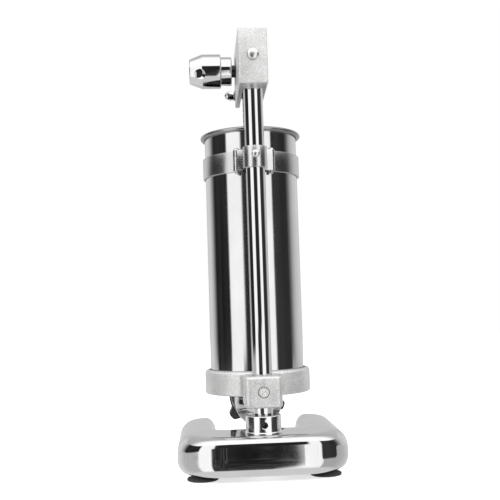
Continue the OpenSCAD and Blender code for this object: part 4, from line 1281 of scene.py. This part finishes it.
@dataclass
class UpperBand:
    """The steel band round the barrel's top, hinged on two pins to a saddle round the column."""

    inner: float = 51.1
    sheet: float = 2.2
    eye: float = 4.0
    eye_x: float = 18.0
    eye_edge: float = 0.1
    saddle_sheet: float = 2.6
    saddle_back: float = 0.6
    knuckle_gap: float = 0.12
    edge: float = 0.3
    pin: float = 2.0
    pin_edge: float = 0.4
    pin_head: float = 3.4
    pin_head_height: float = 2.8
    arm_sheet: float = 0.6
    arm_start: float = 0.6
    arm_gap: float = 0.1
    arm_over: float = 0.05
    arm_step: float = 0.2
    arm_slant: Pair = (1.4, 2.4)
    arm_edge: float = 0.15
    screw_head: float = 4.2
    screw_height: float = 2.8
    screw_rise: float = 1.2
    screw_seat: float = 0.55
    screw_power: float = 2.2

    def build(self) -> None:
        """Makes the band, the saddle, the pins and the saddle's screw."""
        low, high = box_of("band")
        self.low, self.high = low[2], high[2]
        self.axis_y = middle_of("barrel_tube")[1]
        self.eye_y = high[1] - self.eye
        self.band()
        self.saddle()
        self.pins()

    def eye_places(self) -> list[tuple[float, float, float]]:
        """The two hinge eyes."""
        return [(side * self.eye_x, self.eye_y, 0.0) for side in (-1.0, 1.0)]

    def band(self) -> None:
        """A strip along an arc round the barrel, open at the back, with an eye rolled at each end."""
        middle = self.inner + self.sheet / 2
        start = math.degrees(math.acos(self.eye_x / middle))
        path = arc((0, self.axis_y), middle, start, start - 360 + 2 * (90 - start), 180)
        third = (self.high - self.low) / 3
        knuckles = []
        for place in self.eye_places():
            knuckles.append(rod(self.eye, self.low, self.low + third, self.eye_edge).placed(place))
            knuckles.append(rod(self.eye, self.high - third, self.high, self.eye_edge).placed(place))
        sheet = strip(path, self.sheet, self.low, self.high, self.edge)
        put_on(solid("barrel_band", [sheet, *knuckles]), BRUSHED_STEEL, "stand", ["band"])

    def saddle(self) -> None:
        """A strip bent round the column's back, with an arm to the middle knuckle of each eye."""
        column = box_of("column")
        column_y = (column[0][1] + column[1][1]) / 2
        middle = box_of("band_saddle")[1][1] - column_y - self.saddle_back - self.saddle_sheet / 2
        path = np.vstack([
            line((middle, self.eye_y), (middle, column_y), 6)[:-1],
            arc((0, column_y), middle, 0, 180, 48),
            line((-middle, column_y), (-middle, self.eye_y), 6)[1:]])
        parts = [strip(path, self.saddle_sheet, self.low, self.high, self.edge)]
        third = (self.high - self.low) / 3
        low, high = self.low + third + self.knuckle_gap, self.high - third - self.knuckle_gap
        for place in self.eye_places():
            parts.append(rod(self.eye, low, high, self.eye_edge).placed(place))
            parts.append(self.arm(place[0], middle - 1))
        put_on(solid("column_saddle", parts), SADDLE_STEEL, "stand", ["band_saddle"])
        screw_z = middle_of("band_screw")[2] + self.screw_rise
        seat = middle + self.saddle_sheet / 2 + self.screw_seat
        shank = rod(self.screw_head, middle, seat)
        head = dome(self.screw_head, self.screw_height, seat - 0.1, self.screw_power)
        piece = solid("saddle_screw", [part.placed((0, column_y, screw_z), Axis.BACK) for part in (shank, head)])
        put_on(piece, CAP_STEEL, "stand", ["band_screw"])

    def arm(self, side: float, inner: float) -> Surface:
        """The saddle's arm over a hinge eye: square to the view on one side, slanted on the other.

        Args:
            side: positive for the crank's side, negative for the other.
            inner: distance of its inner end from the middle.

        Returns:
            The closed surface.
        """
        near, over = self.eye_x - self.eye - self.arm_gap, self.eye + self.arm_over
        reach, rise = (0.0, 0.0) if side > 0 else self.arm_slant
        end, top = self.eye_x + reach, over + self.arm_sheet
        outline = np.array([(inner, self.arm_start), (near, self.arm_start), (near, over - self.arm_step),
                            (end, over), (end, top), (inner, top + rise)]) + (0, self.eye_y)
        if side < 0:
            outline = outline[::-1] * np.array([-1.0, 1.0])
        return prism(outline, self.low, self.high, self.arm_edge, 2)

    def pins(self) -> None:
        """Two pins with domed heads, whose lower ends stand out under the band."""
        low = box_of("band_pins")[0][2]
        parts = []
        for place in self.eye_places():
            parts.append(rod(self.pin, low, self.high, self.pin_edge).placed(place))
            parts.append(dome(self.pin_head, self.pin_head_height, self.high).placed(place))
        put_on(solid("hinge_pins", parts), SCREW_STEEL, "stand", ["band_pins"])


# ---------------------------------------------------------------- head and crank


@dataclass
class Head:
    """The cast head block with its channel for the rack, and the small pieces in it."""

    corner: float = 1.6
    edge: float = 1.2
    cheek: float = 5.0
    channel_back: float = 42.5
    channel_top: float = 446.0
    rack_half: float = 7.15
    rack_gap: float = 0.15
    bore: float = 10.05
    socket: float = 49.0
    bush: float = 14.85
    journal: float = 5.55
    screw_head: float = 6.1
    screw_height: float = 2.7
    screw_gap: float = 0.6
    screw_shank: float = 3.9
    shank_in: float = 0.5
    overshoot: float = 5.0

    def build(self) -> None:
        """Makes the casting and its domed screw, and dresses the bush, roller and guide bolt."""
        low, high = box_of("head")
        _, shaft_y, shaft_z = middle_of("shaft_bush")
        rack_front, rack_back = (corner[1] for corner in box_of("rack"))
        outline = rounded([(x, y, self.corner) for x, y in (
            (low[0], low[1]), (high[0], low[1]), (high[0], high[1]), (low[0], high[1]))], steps=6)
        block = solid("cast_head", [prism(outline, low[2], high[2], self.edge, 5)])
        inner, over = high[0] - self.cheek, self.overshoot
        holes = [
            box((-inner, low[1] - over, low[2] - over), (inner, self.channel_back, self.channel_top)),
            box((-self.rack_half, rack_front - self.rack_gap, low[2]),
                (self.rack_half, rack_back + self.rack_gap, high[2] + over)),
            rod(self.bore, low[2] - over, low[2] + self.socket, segments=96).placed(
                (0, middle_of("column")[1], 0)),
            rod(self.bush, 0, 2 * high[0]).placed((0, shaft_y, shaft_z), Axis.RIGHT),
            rod(self.journal, -2 * high[0], 0).placed((0, shaft_y, shaft_z), Axis.RIGHT)]
        carve(block, [(Cut.TAKE_AWAY, hole) for hole in holes], sharp=30.0)
        put_on(block, CAST_METAL, "stand", ["head"])
        self.screw(high[1])
        dress(BRONZE, "shaft_bush")
        dress(SCREW_STEEL, "guide_bolt")
        dress(WHITE_NYLON, "guide_roller")

    def screw(self, back: float) -> None:
        """The domed screw in the head's back, whose cap stands a little off the casting.

        Args:
            back: the head's back face.
        """
        place, seat = (0, 0, middle_of("head_screw")[2]), back + self.screw_gap
        parts = [dome(self.screw_head, self.screw_height, seat),
                 rod(self.screw_shank, back - 2 * self.screw_shank, seat + self.shank_in)]
        piece = solid("head_dome_screw", [part.placed(place, Axis.BACK) for part in parts])
        put_on(piece, CAP_STEEL, "stand", ["head_screw"])


@dataclass
class GuideNut:
    """The washer and the acorn nut on the guide bolt's end."""

    across: float = 9.7
    height: float = 5.0
    chamfer: float = 0.5
    dome_radius: float = 4.7
    dome_sink: float = 0.05
    washer: float = 5.6
    washer_hole: float = 2.6
    washer_edge: float = 0.3

    def build(self) -> None:
        """Makes both as turned pieces on the bolt's axis."""
        low, high = box_of("acorn_nut")
        bolt = middle_of("guide_bolt")
        place = (0.0, bolt[1], bolt[2])
        top = low[0] + self.height
        parts = [hexagon_bar(self.across, low[0], top, self.chamfer),
                 dome(self.dome_radius, high[0] - top, top - self.dome_sink)]
        nut = solid("acorn_cap", [part.placed(place, Axis.RIGHT) for part in parts])
        put_on(nut, CHROME, "stand", ["acorn_nut"])
        inner, outer = (corner[0] for corner in box_of("guide_washer"))
        ring = lathe(rounded([
            (self.washer_hole, inner, 0), (self.washer, inner, self.washer_edge),
            (self.washer, outer, self.washer_edge), (self.washer_hole, outer, 0)]), 64, closed=True)
        washer = solid("flat_washer", [ring.placed(place, Axis.RIGHT)])
        put_on(washer, SCREW_STEEL, "stand", ["guide_washer"])


@dataclass
class CrankHub:
    """The turned hub with its countersunk socket for the lever, on the dark crankshaft."""

    collar: float = 15.5
    collar_length: float = 11.8
    drum: float = 18.6
    nose: float = 13.25
    nose_length: float = 14.0
    collar_edge: float = 1.2
    step_round: float = 0.4
    drum_edge: float = 1.4
    drum_round: float = 3.0
    nose_edge: float = 2.2
    lever: float = 4.3
    lever_in: float = 10.0
    lever_sink: float = 3.2
    sink_slope: float = 1.0
    lever_depth: float = 24.0
    lever_tilt: float = 24.0

    def build(self) -> None:
        """Makes the hub and dresses the shaft and the cross pin."""
        low, high = box_of("crank_hub")
        shaft = middle_of("shaft_bush")
        total = high[0] - low[0]
        profile = rounded([
            (0, 0, 0), (self.collar, 0, self.collar_edge), (self.collar, self.collar_length, self.step_round),
            (self.drum, self.collar_length, self.drum_edge),
            (self.drum, total - self.nose_length, self.drum_round), (self.nose, total, self.nose_edge),
            (0, total, 0)], closed=False, steps=7)
        place = (low[0], shaft[1], shaft[2])
        hub = solid("crank_hub_body", [lathe(profile, 160).placed(place, Axis.RIGHT)], sharp=30.0)
        end, mouth = self.drum - self.lever_depth, self.drum + self.lever_sink
        flare = self.lever + 2 * self.lever_sink / self.sink_slope
        socket = solid("lever_socket", [lathe(np.array([
            (0, end), (self.lever, end), (self.lever, self.drum - self.lever_sink), (flare, mouth),
            (0, mouth)]), 96)])
        turn = Matrix.Rotation(math.radians(-90 - self.lever_tilt), 4, "X")
        move = Matrix.Translation(((high[0] - self.lever_in) * MM, shaft[1] * MM, shaft[2] * MM))
        socket.data.transform(move @ turn)
        carve(hub, [(Cut.TAKE_AWAY, socket)], sharp=30.0)
        put_on(hub, CHROME, "crank", ["crank_hub"])
        dress(BLACK_STEEL, "pinion")
        dress(SCREW_STEEL, "hub_pin")


@dataclass
class Plunger:
    """The toothed rack with the piston at its foot."""

    def build(self) -> None:
        """Dresses the rack, the piston, its seals, washer and screw."""
        dress(RACK_STEEL, "rack")
        dress(WHITE_NYLON, "piston")
        dress(SEAL_RUBBER, "piston_seals")
        dress(SCREW_STEEL, "piston_washer", "piston_screw")


# ---------------------------------------------------------------- studio


@dataclass(frozen=True)
class Lamp:
    """A square soft lamp: where it stands in metres, its side, and its power in watts."""

    name: str
    place: RGB
    size: float
    watts: float


@dataclass
class Studio:
    """Camera, floor, world and lamps.

    A card is an angle round the object, 0 towards the camera, and the level there, from 0 for black. The
    pairs of elevations say between which heights one row of cards gives way to the next. The side drop says
    by how much of the direction's Z the step between the two rows lies lower at each angle.
    """

    eye: RGB = (56.62, 865.27, 171.41)
    right: RGB = (-0.99783, 0.05777, -0.03161)
    up: RGB = (-0.02734, 0.07338, 0.99693)
    back: RGB = (0.05991, 0.99563, -0.07164)
    focal: float = 57.05
    floor_half: float = 3.0
    floor_tones: Pair = (0.80, 0.82)
    floor_grain: RGB = (9.0, 9.0, 9.0)
    floor_lift: float = 0.62
    even_light: float = 0.72
    camera_turn: float = 3.7
    card_top: Pair = (21.0, 25.0)
    card_step: Pair = (-3.5, -5.0)
    card_low: Pair = (-40.0, -48.0)
    overhead: Pair = (0.72, 1.75)
    overhead_edge: Pair = (-0.35, 0.05)
    smudge: float = 0.10
    smudge_scale: float = 3.2
    smudge_middle: float = 0.45
    haze_scale: RGB = (26.0, 26.0, 20.0)
    haze_range: Pair = (0.50, 0.72)
    haze_level: float = 0.22
    brightest: float = 1.75
    lamp_aim: RGB = (0.0, 0.0, 0.2)
    lamp_set: tuple[Lamp, ...] = (
        Lamp("key", (0.9, 1.3, 1.4), 1.4, 16.0),
        Lamp("fill", (-1.2, 0.9, 0.9), 1.6, 7.0),
        Lamp("front", (0.2, -1.8, 1.3), 1.8, 14.0))
    upper_cards: tuple[Pair, ...] = (
        (-180, 0.68), (-160, 0.72), (-146, 0.98), (-133, 0.95), (-122, 0.66), (-113, 0.22), (-107, 0.02),
        (-64, 0.02), (-61, 1.6), (-27, 1.6), (-23, 0.03), (15, 0.03), (24, 1.6), (49, 1.6), (52, 0.04),
        (94, 0.04), (103, 0.25), (111, 0.60), (123, 0.88), (146, 0.96), (160, 0.72), (180, 0.68))
    lower_cards: tuple[Pair, ...] = (
        (-180, 0.68), (-160, 0.72), (-146, 0.96), (-110, 0.74), (-70, 0.72), (-62, 1.6), (-34, 1.6),
        (-30, 0.02), (10, 0.02), (11.4, 1.6), (51, 1.5), (56, 0.62), (92, 0.60), (146, 0.80),
        (160, 0.72), (180, 0.68))
    side_drop: tuple[Pair, ...] = (
        (-112, 0.0), (-106, 0.030), (-66, 0.030), (-62, 0.0), (48, 0.0), (52, 0.100), (90, 0.100), (98, 0.0))

    def build(self) -> None:
        """Sets up everything that isn't part of the object."""
        self.camera()
        self.floor()
        self.world()
        self.lamps()
        bpy.context.scene.view_settings.view_transform = "Standard"

    def camera(self) -> None:
        """The camera, where the photograph's own stood."""
        data = bpy.data.cameras.new("camera")
        data.lens = self.focal
        camera = bpy.data.objects.new("camera", data)
        bpy.context.scene.collection.objects.link(camera)
        camera.matrix_world = self.pose(self.right, self.up, self.back, np.array(self.eye) * MM)
        bpy.context.scene.camera = camera

    def floor(self) -> None:
        """A pale floor that keeps the object's shadow; the camera sees it lifted to white."""
        half = self.floor_half / MM
        points = np.array([[(-half, -half, 0), (half, -half, 0)], [(-half, half, 0), (half, half, 0)]], float)
        floor = solid("floor", [Surface(points, wrap_columns=False)])
        floor.visible_glossy = False
        made = bpy.data.materials.new("pale_floor")
        made.use_nodes = True
        sheet = NodeSheet(made.node_tree)
        grain = sheet.tint(sheet.noise(self.floor_grain, 2.0), *((tone,) * 3 for tone in self.floor_tones))
        matt = sheet.add("ShaderNodeBsdfDiffuse", inputs={"Color": grain})
        seen = sheet.add("ShaderNodeLightPath").outputs["Is Camera Ray"]
        lift = sheet.add("ShaderNodeEmission", inputs={"Strength": sheet.math("MULTIPLY", seen, self.floor_lift)})
        both = sheet.add("ShaderNodeAddShader", inputs={0: matt.outputs[0], 1: lift.outputs[0]})
        sheet.add("ShaderNodeOutputMaterial", inputs={"Surface": both.outputs[0]})
        floor.data.materials.append(made)

    def world(self) -> None:
        """White behind the object, an even level for diffuse light, and studio cards in the gloss."""
        world = bpy.data.worlds.new("studio")
        bpy.context.scene.world = world
        world.use_nodes = True
        sheet = NodeSheet(world.node_tree)
        way = sheet.add("ShaderNodeTexCoord").outputs["Generated"]
        x, y, z = sheet.add("ShaderNodeSeparateXYZ", inputs={0: way}).outputs
        gloss = self.cards(sheet, way, sheet.math("ARCTAN2", x, y), z)
        overhead = sheet.carry(y, self.overhead_edge, self.overhead)
        gloss = sheet.blend(self.passed(sheet, z, self.card_top), gloss, overhead)
        gloss = sheet.blend(self.passed(sheet, z, self.card_low), gloss, 1.0)
        gloss = sheet.math("MAXIMUM", gloss, 0.0)
        path = sheet.add("ShaderNodeLightPath").outputs
        seen = sheet.math("MAXIMUM", path["Is Camera Ray"], path["Is Transmission Ray"])
        even = sheet.math("MULTIPLY_ADD", seen, 1.0 - self.even_light, self.even_light)
        level = sheet.blend(path["Is Glossy Ray"], even, gloss)
        glow = sheet.add("ShaderNodeBackground", inputs={"Color": (1.0, 1.0, 1.0, 1.0), "Strength": level})
        sheet.add("ShaderNodeOutputWorld", inputs={"Surface": glow.outputs[0]})

    def cards(self, sheet: NodeSheet, way: bpy.types.NodeSocket, turn: bpy.types.NodeSocket,
              height: bpy.types.NodeSocket) -> bpy.types.NodeSocket:
        """The two rows of cards round the object, with a thin haze on the lower row and a cloudy unevenness.

        Args:
            sheet: the world's node sheet.
            way: the direction.
            turn: its angle round the object.
            height: its Z.

        Returns:
            The level.
        """
        offset = 0.5 + self.camera_turn / 360
        share = sheet.math("FRACT", sheet.math("MULTIPLY_ADD", turn, -1 / (2 * math.pi), offset))
        upper, lower, drop = (self.card_ramp(sheet, share, stops)
                              for stops in (self.upper_cards, self.lower_cards, self.side_drop))
        stretched = sheet.add("ShaderNodeVectorMath", {"operation": "MULTIPLY"}, {0: way, 1: self.haze_scale})
        haze = sheet.add("ShaderNodeTexNoise", inputs={
            "Vector": stretched.outputs[0], "Scale": 1.0, "Detail": 5.0}).outputs[0]
        lower = sheet.math("ADD", lower, sheet.carry(haze, self.haze_range, (0.0, self.haze_level)))
        level = sheet.blend(self.passed(sheet, sheet.math("ADD", height, drop), self.card_step), upper, lower)
        cloud = sheet.add("ShaderNodeTexNoise", inputs={
            "Vector": way, "Scale": self.smudge_scale, "Detail": 3.0}).outputs[0]
        return sheet.math("MULTIPLY_ADD", sheet.math("SUBTRACT", cloud, self.smudge_middle), self.smudge, level)

    @staticmethod
    def passed(sheet: NodeSheet, height: bpy.types.NodeSocket, angles: Pair) -> bpy.types.NodeSocket:
        """A share that rises from 0 at the first elevation to 1 at the second.

        Args:
            sheet: the world's node sheet.
            height: the direction's Z.
            angles: the two elevations in degrees.

        Returns:
            The share.
        """
        first, second = (math.sin(math.radians(a)) for a in angles)
        sign = 1.0 if second > first else -1.0
        return sheet.carry(sheet.math("MULTIPLY", height, sign), (first * sign, second * sign))

    def card_ramp(self, sheet: NodeSheet, share: bpy.types.NodeSocket,
                  stops: tuple[Pair, ...]) -> bpy.types.NodeSocket:
        """Level of the studio round the object: pale walls, black cards and soft boxes.

        Args:
            sheet: the world's node sheet.
            share: the direction round the object, 0.5 towards the camera.
            stops: angle and level of each stop.

        Returns:
            The level, as a number.
        """
        ramp = sheet.add("ShaderNodeValToRGB", inputs={0: share})
        marks = ramp.color_ramp.elements
        while len(marks) < len(stops):
            marks.new(0.5)
        for mark, (angle, level) in zip(marks, stops):
            mark.position = angle / 360 + 0.5
            mark.color = (level / self.brightest,) * 3 + (1.0,)
        return sheet.math("MULTIPLY", ramp.outputs[0], self.brightest)

    def lamps(self) -> None:
        """Three large soft lamps: a key and a fill on the camera's side, and one on the far side."""
        for lamp in self.lamp_set:
            data = bpy.data.lights.new(lamp.name, "AREA")
            data.shape, data.size, data.energy = "SQUARE", lamp.size, lamp.watts
            hung = bpy.data.objects.new(lamp.name, data)
            bpy.context.scene.collection.objects.link(hung)
            away = np.array(lamp.place) - np.array(self.lamp_aim)
            away /= np.linalg.norm(away)
            side = np.cross((0.0, 0.0, 1.0), away)
            side /= np.linalg.norm(side)
            hung.matrix_world = self.pose(side, np.cross(away, side), away, lamp.place)
            hung.visible_glossy = False
            hung.visible_camera = False

    @staticmethod
    def pose(right: np.ndarray | RGB, up: np.ndarray | RGB, back: np.ndarray | RGB,
             place: np.ndarray | RGB) -> Matrix:
        """The matrix of something that looks against its third axis: its three axes, then its place.

        Args:
            right: its own X axis.
            up: its own Y axis.
            back: its own Z axis.
            place: where it stands, in metres.

        Returns:
            The 4 by 4 matrix.
        """
        axes = np.eye(4)
        axes[:3] = np.column_stack([right, up, back, place])
        return Matrix(axes.tolist())


def main() -> None:
    """Builds the sub-assemblies in order, then the studio."""
    logging.basicConfig(level=logging.INFO, format="%(name)s %(message)s")
    for part in (BaseCasting(), FootSet(), Column(), Cradle(), Barrel(), SpoutNut(), UpperBand(),
                 Head(), GuideNut(), CrankHub(), Plunger()):
        LOG.info("building %s", type(part).__name__)
        part.build()
    Studio().build()


if __name__ == "__main__":
    main()
